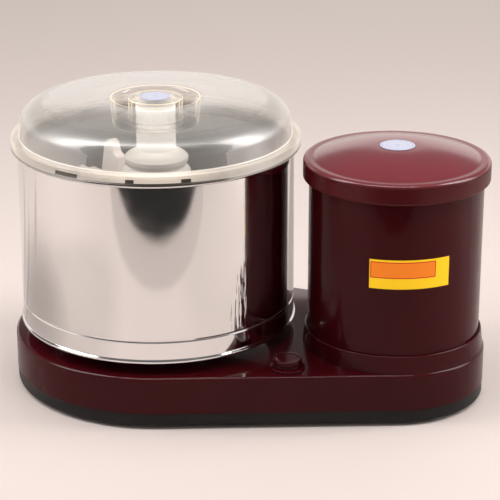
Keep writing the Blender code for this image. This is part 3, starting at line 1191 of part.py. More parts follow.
def make_motor():
    """Induction motor that stands on its legs in the tower, with the bolts that hold it to the deck."""
    middle = (TOWER_X, 0, 0)
    lower, upper = make_shields(middle)
    stator = turned("stator_core", ring_profile(STATOR_RADIUS, STATOR_BORE, STATOR_BOTTOM, STATOR_TOP),
                    "lamination_steel", middle, steps=INNER_STEPS)
    slots = pins("stator_slots", around(SLOT_COUNT, SLOT_REACH, middle), SLOT_RADIUS + SEAT_GAP,
                 STATOR_BOTTOM - CUT_OVERRUN, STATOR_TOP + CUT_OVERRUN)
    boolean(stator, slots, "DIFFERENCE")
    bolt_low = DECK_UNDER - SEAT_GAP - BOLT_HEAD_HEIGHT
    bolt_high = UPPER_SHIELD_TOP + SEAT_GAP + BOLT_HEAD_HEIGHT
    holes = pins("bolt_holes", bolt_places(), BOLT_RADIUS + RUN_GAP, bolt_low, bolt_high)
    for piece in (lower, upper, stator):
        boolean(piece, holes, "DIFFERENCE")
    lead = pins("lead_hole", at_angles((LEAD_ANGLE,), LEAD_REACH, middle), LEAD_HOLE_RADIUS,
                LOWER_SHIELD_Z - CUT_OVERRUN, LOWER_SHIELD_Z + SHIELD_PLATE + CUT_OVERRUN)
    boolean(lower, lead, "DIFFERENCE")
    profile = [(0, bolt_high), (BOLT_HEAD_RADIUS, bolt_high),
               (BOLT_HEAD_RADIUS, bolt_high - BOLT_HEAD_HEIGHT),
               (BOLT_RADIUS, bolt_high - BOLT_HEAD_HEIGHT), (BOLT_RADIUS, bolt_low + BOLT_HEAD_HEIGHT),
               (BOLT_HEAD_RADIUS, bolt_low + BOLT_HEAD_HEIGHT), (BOLT_HEAD_RADIUS, bolt_low), (0, bolt_low)]
    for number, spot in enumerate(bolt_places()):
        turned(f"motor_bolt_{number + 1}", profile, "machined_steel", spot, steps=TINY_STEPS)
    make_winding(middle)
    eye = SHAFT_RADIUS + SEAT_GAP
    lower_seat = LOWER_SHIELD_Z + SHIELD_BEARING_LIP + SEAT_GAP
    upper_seat = UPPER_SHIELD_TOP - SHIELD_BEARING_LIP - SEAT_GAP
    turned("lower_motor_bearing", ring_profile(MOTOR_BEARING_RADIUS, eye, lower_seat,
                                               lower_seat + MOTOR_BEARING_WIDTH), "machined_steel", middle,
           steps=INNER_STEPS)
    turned("upper_motor_bearing", ring_profile(MOTOR_BEARING_RADIUS, eye, upper_seat - MOTOR_BEARING_WIDTH,
                                               upper_seat), "machined_steel", middle, steps=INNER_STEPS)


def make_shields(middle):
    """Cast end shields with the bearing seats; the lower one has the motor's legs."""
    rim_inner = STATOR_RADIUS - SHIELD_RIM
    pocket = MOTOR_BEARING_RADIUS + SEAT_GAP
    low = LOWER_SHIELD_Z
    floor = low + SHIELD_PLATE
    boss = low + SHIELD_BOSS_HEIGHT
    lip = low + SHIELD_BEARING_LIP
    rim_top = STATOR_BOTTOM - SEAT_GAP
    profile = [(rim_inner, rim_top), (STATOR_RADIUS, rim_top), (STATOR_RADIUS, low), (SHAFT_LIP_RADIUS, low),
               (SHAFT_LIP_RADIUS, lip), (pocket, lip), (pocket, boss), (SHIELD_BOSS_RADIUS, boss),
               (SHIELD_BOSS_RADIUS, floor), (rim_inner, floor)]
    lower = turned("lower_end_shield", profile, "cast_aluminium", middle, steps=INNER_STEPS)
    legs = pins("shield_legs", bolt_places(), SHIELD_LEG_RADIUS, low - SHIELD_LEG_HEIGHT, low + UNION_SINK)
    boolean(lower, legs, "UNION")
    high = UPPER_SHIELD_TOP
    floor = UPPER_SHIELD_Z
    boss = high - SHIELD_BOSS_HEIGHT
    lip = high - SHIELD_BEARING_LIP
    rim_bottom = STATOR_TOP + SEAT_GAP
    profile = [(SHAFT_LIP_RADIUS, high), (STATOR_RADIUS, high), (STATOR_RADIUS, rim_bottom),
               (rim_inner, rim_bottom), (rim_inner, floor), (SHIELD_BOSS_RADIUS, floor),
               (SHIELD_BOSS_RADIUS, boss), (pocket, boss),
               (pocket, lip), (SHAFT_LIP_RADIUS, lip)]
    return lower, turned("upper_end_shield", profile, "cast_aluminium", middle, steps=INNER_STEPS)


def make_winding(middle):
    """Stator winding: end turns above and below the core, joined through its slots."""
    rings = []
    for name, bottom in (("stator_winding", STATOR_BOTTOM - SEAT_GAP - WINDING_HEIGHT),
                         ("upper_turns", STATOR_TOP + SEAT_GAP)):
        top = bottom + WINDING_HEIGHT
        profile = [(WINDING_BORE, top), (WINDING_RADIUS - WINDING_EDGE, top),
                   (WINDING_RADIUS, top - WINDING_EDGE),
                   (WINDING_RADIUS, bottom + WINDING_EDGE), (WINDING_RADIUS - WINDING_EDGE, bottom),
                   (WINDING_BORE, bottom)]
        finish = None if rings else "copper_winding"
        rings.append(turned(name, profile, finish, middle, steps=INNER_STEPS))
    bars = pins("slot_bars", around(SLOT_COUNT, SLOT_REACH, middle), SLOT_RADIUS,
                STATOR_BOTTOM - WINDING_EDGE, STATOR_TOP + WINDING_EDGE)
    boolean(rings[0], bars, "UNION")
    boolean(rings[0], rings[1], "UNION")


def make_rotor():
    """Rotor, shaft, small pulley and cooling fan, which turn together."""
    middle = (TOWER_X, 0, 0)
    eye = SHAFT_RADIUS + SEAT_GAP
    rotor_radius = STATOR_BORE * INNER_FLAT_SHARE - ROTOR_AIR_GAP
    profile = ring_profile(rotor_radius, eye, STATOR_BOTTOM + ROTOR_END_INSET, STATOR_TOP - ROTOR_END_INSET)
    core = turned("rotor_core", profile, "lamination_steel", middle, steps=INNER_STEPS)
    profile = disc_profile(SHAFT_RADIUS, SHAFT_BOTTOM, SHAFT_TOP)
    shaft = turned("motor_shaft", profile, "machined_steel", middle, steps=SMALL_STEPS)
    face = MOTOR_PITCH_RADIUS - BELT_THICKNESS / 2 - RUN_GAP
    flange = MOTOR_PITCH_RADIUS + BELT_THICKNESS / 2 + PULLEY_FLANGE_RISE
    half = BELT_WIDTH / 2 + RUN_GAP
    hub = BELT_Z + half + PULLEY_FLANGE + MOTOR_PULLEY_HUB
    profile = [(eye, hub), (MOTOR_PULLEY_HUB_RADIUS, hub),
               (MOTOR_PULLEY_HUB_RADIUS, BELT_Z + half + PULLEY_FLANGE),
               (flange, BELT_Z + half + PULLEY_FLANGE), (flange, BELT_Z + half), (face, BELT_Z + half),
               (face, BELT_Z - half), (flange, BELT_Z - half), (flange, BELT_Z - half - PULLEY_FLANGE),
               (eye, BELT_Z - half - PULLEY_FLANGE)]
    pulley = turned("motor_pulley", profile, "cast_aluminium", middle, steps=INNER_STEPS)
    top = FAN_BOTTOM + FAN_DISC
    profile = [(eye, FAN_TOP), (FAN_HUB_RADIUS, FAN_TOP), (FAN_HUB_RADIUS, top), (FAN_RADIUS, top),
               (FAN_RADIUS, FAN_BOTTOM), (eye, FAN_BOTTOM)]
    fan = turned("cooling_fan", profile, "black_plastic", middle, steps=INNER_STEPS)
    for i in range(FAN_BLADE_COUNT):
        turn = (0, 0, math.tau * i / FAN_BLADE_COUNT)
        blade = block(f"fan_blade_{i + 1}",
                      (FAN_HUB_RADIUS - UNION_SINK, -FAN_BLADE_WIDTH / 2, top - UNION_SINK),
                      (FAN_RADIUS - UNION_SINK, FAN_BLADE_WIDTH / 2, FAN_TOP), location=middle, rotation=turn)
        boolean(fan, blade, "UNION")
    return core, shaft, pulley, fan


def make_electrics():
    """Run capacitor in its cradle, and the lead from it up to the motor."""
    radius = CAPACITOR_RADIUS
    half = CAPACITOR_LENGTH / 2
    profile = [(0, half), (radius - CAPACITOR_EDGE, half), (radius, half - CAPACITOR_EDGE),
               (radius, CAPACITOR_EDGE - half), (radius - CAPACITOR_EDGE, -half), (0, -half)]
    turned("capacitor", profile, "grey_can", (CAPACITOR_X, CAPACITOR_Y, CAPACITOR_Z), (0, math.pi / 2, 0),
           SMALL_STEPS)
    start = (CAPACITOR_X + half + LEAD_RADIUS + 2 * SEAT_GAP, CAPACITOR_Y, CAPACITOR_Z)
    spot = at_angles((LEAD_ANGLE,), LEAD_REACH, (TOWER_X, 0))[0]
    lead_tube("motor_lead", start, (spot[0], spot[1], STATOR_BOTTOM - 2 * SEAT_GAP - WINDING_HEIGHT))


def lead_tube(name, start, end):
    """Insulated lead that leaves the capacitor, sweeps under the deck and rises to the motor."""
    rise = end[2] - start[2]
    curve = bpy.data.curves.new(name, "CURVE")
    curve.dimensions = "3D"
    curve.bevel_depth = LEAD_RADIUS
    curve.bevel_resolution = 1
    curve.use_fill_caps = True
    spline = curve.splines.new("POLY")
    spline.points.add(LEAD_POINT_COUNT - 1)
    for i, point in enumerate(spline.points):
        share = i / (LEAD_POINT_COUNT - 1)
        across = smooth_share((share - LEAD_BEND_SHARES[0]) / (LEAD_BEND_SHARES[1] - LEAD_BEND_SHARES[0]))
        x = start[0] + (end[0] - start[0]) * across
        y = start[1] + (end[1] - start[1]) * across
        point.co = (x, y, start[2] + rise * share, 1)
    holder = bpy.data.objects.new(name + "_route", curve)
    CUTTERS.objects.link(holder)
    mesh = taken_mesh(holder)
    mesh.shade_smooth()
    place(name, mesh, "red_lead")


def smooth_share(share):
    """Return a share eased at both ends and held between 0 and 1."""
    held = min(1.0, max(0.0, share))
    return held * held * (3 - 2 * held)


def make_switch():
    """Rotary switch under the deck, its bezel, and the knob that turns it."""
    spot = (SWITCH_X, SWITCH_Y, 0)
    top = DECK_UNDER - SEAT_GAP
    half = SWITCH_BODY_SIDE / 2
    bore = SWITCH_SHAFT_RADIUS + SEAT_GAP
    body = block("switch_body", (-half, -half, top - SWITCH_BODY_HEIGHT), (half, half, top), "black_plastic",
                 spot, edge=SWITCH_BODY_EDGE)
    neck_top = DECK_TOP + SWITCH_NECK_RISE
    neck = turned("switch_neck", disc_profile(SWITCH_NECK_RADIUS, top - UNION_SINK, neck_top), location=spot,
                  steps=SMALL_STEPS)
    boolean(body, neck, "UNION")
    hole_bottom = top - SWITCH_SHAFT_DEPTH - SEAT_GAP
    hole = turned("switch_shaft_hole", disc_profile(bore, hole_bottom, neck_top + CUT_OVERRUN), location=spot,
                  steps=SMALL_STEPS)
    boolean(body, hole, "DIFFERENCE")
    low = DECK_TOP + SEAT_GAP
    waist = BEZEL_WAIST_RADIUS
    eye = SWITCH_NECK_RADIUS + SEAT_GAP
    profile = [(eye, DECK_TOP + BEZEL_HEIGHT), (waist, DECK_TOP + BEZEL_HEIGHT),
               (waist, DECK_TOP + BEZEL_SLOPE_HEIGHT), (BEZEL_RADIUS, low + BEZEL_EDGE_HEIGHT),
               (BEZEL_RADIUS, low), (eye, low)]
    turned("switch_bezel", profile, "maroon_gloss", spot)
    bottom = DECK_TOP + BEZEL_HEIGHT + SEAT_GAP
    knob_top = bottom + SWITCH_KNOB_HEIGHT
    edge = SWITCH_KNOB_EDGE
    profile = [(0, knob_top), (SWITCH_KNOB_RADIUS - edge, knob_top), (SWITCH_KNOB_RADIUS, knob_top - edge),
               (SWITCH_KNOB_RADIUS, bottom + edge), (SWITCH_KNOB_RADIUS - edge, bottom),
               (SWITCH_SHAFT_RADIUS, bottom), (SWITCH_SHAFT_RADIUS, top - SWITCH_SHAFT_DEPTH),
               (0, top - SWITCH_SHAFT_DEPTH)]
    return turned("switch_knob", profile, "maroon_gloss", spot)


def build():
    """Make every piece and hang the moving ones on their joint axes."""
    headings = {"right": ROLLER_AZIMUTH, "left": ROLLER_AZIMUTH + 180}
    make_feet()
    make_tray()
    make_base()
    make_screws()
    make_gland()
    make_rod()
    make_housing()
    make_belt()
    make_tower()
    make_motor()
    make_electrics()
    drive_axis = body_axis("drive_axis", (DRUM_X, 0, HOUSING_TOP))
    carry(drive_axis, *make_spindle())
    drum_axis = body_axis("drum_axis", (DRUM_X, 0, PAN_BOTTOM))
    carry(drum_axis, *make_drum())
    lid_axis = body_axis("lid_axis", (DRUM_X, 0, LID_SEAT_Z))
    carry(lid_axis, *make_lid())
    holder_axis = body_axis("holder_axis", (DRUM_X, 0, AXLE_Z))
    pieces = [*make_holder(headings.values()), make_wiper()]
    pieces += [make_axle(side, heading) for side, heading in headings.items()]
    carry(holder_axis, *pieces)
    for side, heading in headings.items():
        spot, rotation = outward(heading, ROLLER_INNER_REACH)
        roller_axis = body_axis(f"{side}_roller_axis", spot, rotation)
        carry(roller_axis, *make_roller(side, heading))
    motor_axis = body_axis("motor_axis", (TOWER_X, 0, STATOR_BOTTOM))
    carry(motor_axis, *make_rotor())
    switch_axis = body_axis("switch_axis", (SWITCH_X, SWITCH_Y, DECK_TOP))
    carry(switch_axis, make_switch())


build()
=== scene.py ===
"""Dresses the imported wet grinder: smooth pieces, finishes, camera, floor and studio light.

Sizes and places are in millimetres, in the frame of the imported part. Meshes are made in metres.
"""

import logging
import math
from collections.abc import Mapping, Sequence
from dataclasses import dataclass
from enum import Enum, IntEnum
from functools import cache
from typing import Any

import bmesh
import bpy
from mathutils import Matrix, Vector


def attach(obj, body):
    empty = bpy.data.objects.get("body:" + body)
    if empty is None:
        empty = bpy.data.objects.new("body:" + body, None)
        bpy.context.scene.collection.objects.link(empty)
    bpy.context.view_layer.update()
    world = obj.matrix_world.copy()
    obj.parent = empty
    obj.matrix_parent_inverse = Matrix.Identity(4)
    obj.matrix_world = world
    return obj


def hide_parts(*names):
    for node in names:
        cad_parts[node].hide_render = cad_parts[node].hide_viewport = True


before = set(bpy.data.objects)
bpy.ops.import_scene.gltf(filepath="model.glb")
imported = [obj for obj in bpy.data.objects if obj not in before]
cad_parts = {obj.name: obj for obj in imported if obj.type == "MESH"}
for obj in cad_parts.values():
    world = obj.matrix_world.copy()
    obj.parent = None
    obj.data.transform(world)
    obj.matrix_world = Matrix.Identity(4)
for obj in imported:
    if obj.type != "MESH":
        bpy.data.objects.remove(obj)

LOG = logging.getLogger("wet_grinder")

MM = 0.001
DEGREE = math.radians(1.0)
DRUM_X = -84.6
TOWER_X = 133.8
CURVE_STEP = 11.0 * DEGREE
SHARP_ANGLE = 34.0 * DEGREE
AXIS_LIMIT = 1e-6
CUT_OVERRUN = 2.0
SUPPORT = 0.4
LONG_FACE = 3.0
FLAT_START = 0.6
MOST_OF_SIDE = 0.49
EDGE_STRIPS = 3

Point = tuple[float, float]
Triple = tuple[float, float, float]
Colour = tuple[float, float, float, float]
Row = tuple[float, ...]
Rows = tuple[Row, ...]


class Slot(Enum):
    """The record's material slots."""

    MAROON = "maroon_gloss"
    BLACK_PLASTIC = "black_plastic"
    POLISHED_STEEL = "polished_steel"
    MACHINED_STEEL = "machined_steel"
    CAST_ALUMINIUM = "cast_aluminium"
    CLEAR_LID = "clear_lid"
    WHITE_NYLON = "white_nylon"
    GRANITE = "grey_granite"
    RUBBER = "black_rubber"
    COPPER = "copper_winding"
    LAMINATION = "lamination_steel"
    STICKER = "pale_sticker"
    LABEL = "yellow_label"
    RED_LEAD = "red_lead"
    GREY_CAN = "grey_can"


class Body(Enum):
    """The bodies that pieces ride on."""

    BASE = "base"
    DRIVE = "drive"
    DRUM = "drum"
    LID = "lid"
    HOLDER = "holder"
    LEFT_ROLLER = "left_roller"
    RIGHT_ROLLER = "right_roller"
    SWITCH = "switch_knob"


class Join(Enum):
    """Ways to combine two solids."""

    ADD = "UNION"
    CUT = "DIFFERENCE"


class Steps(IntEnum):
    """How finely a turned piece is stepped round its axis."""

    WALL = 192
    WIDE = 160
    ROLLER = 128
    RING = 96
    SMALL = 64
    BOLT = 48
    PIN = 32
    NOTCH = 24
    HEXAGON = 6


# Shader wiring


class Signal:
    """A node's output. Arithmetic on it adds Math nodes."""

    def __init__(self, recipe: "Recipe", socket: bpy.types.NodeSocket) -> None:
        """Wraps one output socket of a recipe's tree."""
        self.recipe = recipe
        self.socket = socket

    def _math(self, operation: str, *values: Any) -> "Signal":
        """Returns a Math node's output for its inputs in order."""
        return self.recipe.add("ShaderNodeMath", {"operation": operation}, dict(enumerate(values)))["Value"]

    def __add__(self, other: Any) -> "Signal":
        """Returns self + other."""
        return self._math("ADD", self, other)

    __radd__ = __add__

    def __sub__(self, other: Any) -> "Signal":
        """Returns self - other."""
        return self._math("SUBTRACT", self, other)

    def __rsub__(self, other: Any) -> "Signal":
        """Returns other - self."""
        return self._math("SUBTRACT", other, self)

    def __mul__(self, other: Any) -> "Signal":
        """Returns self * other."""
        return self._math("MULTIPLY", self, other)

    __rmul__ = __mul__

    def __truediv__(self, other: Any) -> "Signal":
        """Returns self / other."""
        return self._math("DIVIDE", self, other)

    def __pow__(self, other: Any) -> "Signal":
        """Returns self to the power of other."""
        return self._math("POWER", self, other)

    def __abs__(self) -> "Signal":
        """Returns the size of self."""
        return self._math("ABSOLUTE", self)

    def turned_from(self, other: "Signal") -> "Signal":
        """Returns the angle whose tangent is self / other."""
        return self._math("ARCTAN2", self, other)

    def wave(self) -> "Signal":
        """Returns the sine of self."""
        return self._math("SINE", self)

    def most(self, other: Any) -> "Signal":
        """Returns the larger of self and other."""
        return self._math("MAXIMUM", self, other)

    def least(self, other: Any) -> "Signal":
        """Returns the smaller of self and other."""
        return self._math("MINIMUM", self, other)

    def step(self, low: float, high: float, unit: float = 1.0) -> "Signal":
        """Makes a smooth step of self.

        Args:
            low: Where the step is still 0.
            high: Where it has reached 1; below low, the step falls.
            unit: What one unit of low and high is in the signal.

        Returns:
            A value from 0 to 1.
        """
        if high < low:
            return 1 - self.step(high, low, unit)
        inputs = {"Value": self, "From Min": low * unit, "From Max": high * unit}
        return self.recipe.add("ShaderNodeMapRange", {"interpolation_type": "SMOOTHSTEP"}, inputs)["Result"]

    def band(self, low: float, high: float, soft: float, unit: float = MM) -> "Signal":
        """Returns 1 between two places and 0 beyond their soft edges."""
        return self.step(low - soft, low, unit) * self.step(high + soft, high, unit)


class Placed:
    """A node in a recipe, whose outputs are taken by name or number."""

    def __init__(self, recipe: "Recipe", node: bpy.types.Node) -> None:
        """Keeps the node and its recipe."""
        self.recipe = recipe
        self.node = node

    def __getitem__(self, output: Any) -> Signal:
        """Returns one output as a signal."""
        return Signal(self.recipe, self.node.outputs[output])


class Recipe:
    """A material or world being wired."""

    def __init__(self, tree: bpy.types.NodeTree) -> None:
        """Starts from an empty tree."""
        self.tree = tree
        self.tree.nodes.clear()

    def add(self, kind: str, settings: Mapping[str, Any] | None = None,
            inputs: Mapping[Any, Any] | None = None) -> Placed:
        """Adds one node.

        Args:
            kind: The node's type.
            settings: Its settings, set first; "stops" gives a ramp's places and colours.
            inputs: Values or signals by socket name or number.

        Returns:
            The node, placed.
        """
        node = self.tree.nodes.new(kind)
        for key, value in (settings or {}).items():
            if key == "stops":
                self._set_stops(node.color_ramp, value)
            else:
                setattr(node, key, value)
        for key, value in (inputs or {}).items():
            if isinstance(value, Signal):
                self.tree.links.new(value.socket, node.inputs[key])
            else:
                node.inputs[key].default_value = value
        return Placed(self, node)

    @staticmethod
    def _set_stops(ramp: bpy.types.ColorRamp, stops: Sequence[tuple[float, Colour]]) -> None:
        """Sets a ramp's stops.

        Args:
            ramp: The colour ramp.
            stops: Places from 0 to 1 with their colours, in order.
        """
        while len(ramp.elements) < len(stops):
            ramp.elements.new(1.0)
        for element, (place, colour) in zip(ramp.elements, stops):
            element.position = place
            element.color = colour

    def here(self) -> Signal:
        """Returns the place on the part, in metres."""
        return self.add("ShaderNodeTexCoord")["Object"]

    def split(self, vector: Signal) -> tuple[Signal, Signal, Signal]:
        """Returns the three parts of a vector."""
        parts = self.add("ShaderNodeSeparateXYZ", None, {0: vector})
        return parts["X"], parts["Y"], parts["Z"]

    def noise(self, vector: Signal, scale: float, detail: float = 3.0, rough: float = 0.5) -> Signal:
        """Returns noise about 0.5, of some waves in a metre, with finer layers that keep a share each."""
        inputs = {"Vector": vector, "Scale": scale, "Detail": detail, "Roughness": rough}
        return self.add("ShaderNodeTexNoise", None, inputs)["Fac"]

    def mixed(self, factor: Any, first: Any, second: Any) -> Signal:
        """Returns two colours mixed by a factor."""
        return self.add("ShaderNodeMix", {"data_type": "RGBA"}, {0: factor, 6: first, 7: second})[2]

    def ramp(self, factor: Signal, stops: Sequence[tuple[float, Colour]]) -> Signal:
        """Returns the colour of a ramp at a factor."""
        return self.add("ShaderNodeValToRGB", {"stops": stops}, {"Fac": factor})["Color"]

    def bump(self, height: Signal, strength: float, depth: float) -> Signal:
        """Returns the normal of a relief, whose depth is in metres."""
        inputs = {"Height": height, "Strength": strength, "Distance": depth}
        return self.add("ShaderNodeBump", None, inputs)["Normal"]

    def about_axis(self, axis_x: float) -> tuple[Signal, Signal, Signal]:
        """Reads the place about an upright axis.

        Args:
            axis_x: The axis's place along X, in millimetres.

        Returns:
            The radius in metres, the angle in radians and the height in metres.
        """
        vectors = {0: self.here(), 1: (axis_x * MM, 0.0, 0.0)}
        x, y, z = self.split(self.add("ShaderNodeVectorMath", {"operation": "SUBTRACT"}, vectors)["Vector"])
        return (x * x + y * y) ** 0.5, y.turned_from(x), z

    def round_noise(self, around: Sequence[Any], scales: Triple, detail: float = 2.0) -> Signal:
        """Makes noise that runs round an axis.

        Args:
            around: The radius, the angle and the height.
            scales: What each of them is multiplied by; 1 leaves it as it is.
            detail: The number of finer layers.

        Returns:
            A value about 0.5.
        """
        radius, angle, height = (part if scale == 1 else part * scale for part, scale in zip(around, scales))
        place = self.add("ShaderNodeCombineXYZ", None, {"X": angle, "Y": radius, "Z": height})["Vector"]
        return self.noise(place, 1.0, detail)

    def shader(self, **inputs: Any) -> Signal:
        """Returns a Principled shader; underscores in names stand for spaces."""
        named = {key.replace("_", " "): value for key, value in inputs.items()}
        return self.add("ShaderNodeBsdfPrincipled", None, named)["BSDF"]

    def mixed_shaders(self, factor: Any, first: Signal, second: Signal) -> Signal:
        """Returns two shaders mixed by a factor."""
        return self.add("ShaderNodeMixShader", None, {0: factor, 1: first, 2: second})["Shader"]


def grey(value: float) -> Colour:
    """Returns an opaque grey."""
    return (value, value, value, 1.0)


def shade(colour: Colour, share: float) -> Colour:
    """Returns a colour made lighter or darker by a share."""
    return (colour[0] * share, colour[1] * share, colour[2] * share, 1.0)


@dataclass(frozen=True)
class Finish:
    """A surface finish: the base of all of them."""

    name: str
    colour: Colour

    @cache
    def material(self) -> bpy.types.Material:
        """Makes the finish's material, once.

        Returns:
            The material.
        """
        material = bpy.data.materials.new(self.name)
        material.use_nodes = True
        material.diffuse_color = self.colour
        recipe = Recipe(material.node_tree)
        recipe.add("ShaderNodeOutputMaterial", None, {"Surface": self.surface(recipe)})
        return material

    def surface(self, recipe: Recipe) -> Signal:
        """Returns the finish's shader, wired in the material's recipe."""
        raise NotImplementedError


@dataclass(frozen=True)
class Grained(Finish):
    """A finish with a fine grain as its relief and soft clouds in its tone: the base of the plain ones."""

    grain: Row = (1500.0, 2.0)
    cloud: Row = (22.0, 3.0)
    cloud_step: Point | None = (0.3, 0.7)
    tones: Point = (0.93, 1.0)
    metallic: float = 0.0
    roughness: float = 0.36
    spread: float = 0.08
    spread_by_grain: bool = False
    shine: float = 0.5
    relief: Point = (0.2, 0.0002)

    def grains(self, recipe: Recipe) -> Signal:
        """Returns the relief."""
        return recipe.noise(recipe.here(), *self.grain)

    def clouds(self, recipe: Recipe) -> Signal:
        """Returns the clouds."""
        return recipe.noise(recipe.here(), *self.cloud)

    def tint(self, recipe: Recipe, tone: Signal) -> Signal:
        """Returns the tone as it is, with nothing printed on it."""
        return tone

    def extras(self, recipe: Recipe, tone: Signal) -> dict[str, Any]:
        """Returns the shader's further inputs: none."""
        return {}

    def surface(self, recipe: Recipe) -> Signal:
        """Wires the finish.

        Args:
            recipe: The material's recipe.

        Returns:
            Its shader.
        """
        grain = self.grains(recipe)
        cloud = self.clouds(recipe)
        share = cloud.step(*self.cloud_step) if self.cloud_step else cloud
        tone = self.tint(recipe, recipe.mixed(share, *(shade(self.colour, part) for part in self.tones)))
        rough = self.roughness + self.spread * (grain if self.spread_by_grain else cloud)
        return recipe.shader(Base_Color=tone, Metallic=self.metallic, Roughness=rough,
                             Specular_IOR_Level=self.shine, Normal=recipe.bump(grain, *self.relief),
                             **self.extras(recipe, tone))


@dataclass(frozen=True)
class SatinPlastic(Grained):
    """Moulded plastic with a fine grain."""

    shine: float = 0.2


@dataclass(frozen=True)
class CastMetal(Grained):
    """Cast aluminium with a fine sand grain."""

    grain: Row = (1400.0, 3.0, 0.6)
    cloud: Row = (45.0, 4.0)
    cloud_step: Point | None = None
    tones: Point = (0.82, 1.0)
    metallic: float = 0.9
    roughness: float = 0.42
    spread: float = 0.2
    spread_by_grain: bool = True
    relief: Point = (0.35, 0.0003)


@dataclass(frozen=True)
class Rubber(Grained):
    """Matt rubber with a dusty bloom."""

    grain: Row = (1100.0, 3.0)
    cloud: Row = (70.0, 4.0)
    cloud_step: Point | None = (0.5, 0.8)
    tones: Point = (1.0, 2.0)
    roughness: float = 0.66
    spread: float = 0.2
    spread_by_grain: bool = True
    relief: Point = (0.3, 0.0002)


@dataclass(frozen=True)
class MachinedSteel(Grained):
    """Turned or ground steel with tool lines and a trace of oil."""

    axis_x: float = DRUM_X
    line_scales: Triple = (1800.0, 1.0, 1800.0)
    cloud: Row = (60.0, 4.0)
    cloud_step: Point | None = None
    tones: Point = (0.8, 1.0)
    metallic: float = 1.0
    roughness: float = 0.26
    spread: float = 0.2
    relief: Point = (0.2, 0.0001)

    def grains(self, recipe: Recipe) -> Signal:
        """Returns the tool lines."""
        return recipe.round_noise(recipe.about_axis(self.axis_x), self.line_scales)


@dataclass(frozen=True)
class WoundCopper(Grained):
    """Enamelled copper wire wound in rings."""

    wire: float = 0.9
    lean: float = 0.2
    varnish_scales: Triple = (80.0, 3.0, 80.0)
    cloud_step: Point | None = None
    tones: Point = (0.6, 1.0)
    metallic: float = 0.7
    roughness: float = 0.3
    spread: float = 0.2
    relief: Point = (0.6, 0.0004)

    def grains(self, recipe: Recipe) -> Signal:
        """Makes the wires' relief.

        Args:
            recipe: The material's recipe.

        Returns:
            The relief.
        """
        radius, _, height = recipe.about_axis(TOWER_X)
        turn = math.tau / (self.wire * MM)
        return ((radius + self.lean * height) * turn).wave() * 0.5 + (height * turn).wave() * 0.5

    def clouds(self, recipe: Recipe) -> Signal:
        """Returns the varnish."""
        return recipe.round_noise(recipe.about_axis(TOWER_X), self.varnish_scales, 3.0)


@dataclass(frozen=True)
class Laminations(Grained):
    """Stacked steel sheets seen on edge."""

    sheet: float = 1.0
    cloud: Row = (120.0, 4.0)
    cloud_step: Point | None = None
    tones: Point = (0.6, 1.0)
    metallic: float = 0.8
    roughness: float = 0.35
    spread: float = 0.25
    relief: Point = (0.5, 0.0002)

    def grains(self, recipe: Recipe) -> Signal:
        """Returns the sheets' edges."""
        return (recipe.split(recipe.here())[2] * (math.tau / (self.sheet * MM))).wave()


@dataclass(frozen=True)
class Nylon(Grained):
    """White nylon with a painted glow, an emission that stands in for light, most where the lid's knob veils
    it.
    """

    grain: Row = (500.0, 2.0)
    roughness: float = 0.32
    relief: Point = (0.08, 0.0002)
    glow: float = 1.25
    foot: float = 200.0
    head: float = 262.0
    # share of the painted glow from foot to head
    shares: tuple[Point, ...] = ((0.20, 0.02), (0.36, 0.42), (0.58, 0.52), (0.66, 1.0), (0.92, 1.0),
                                 (0.955, 0.0))

    def extras(self, recipe: Recipe, tone: Signal) -> dict[str, Any]:
        """Makes the painted glow, whose share of the colour changes from foot to head.

        Args:
            recipe: The material's recipe.
            tone: The finish's tone; not used.

        Returns:
            The shader's inputs for it.
        """
        rise = (recipe.split(recipe.here())[2] - self.foot * MM) / ((self.head - self.foot) * MM)
        lit = recipe.ramp(rise, [(place, shade(self.colour, share)) for place, share in self.shares])
        return {"Emission_Color": lit, "Emission_Strength": self.glow}


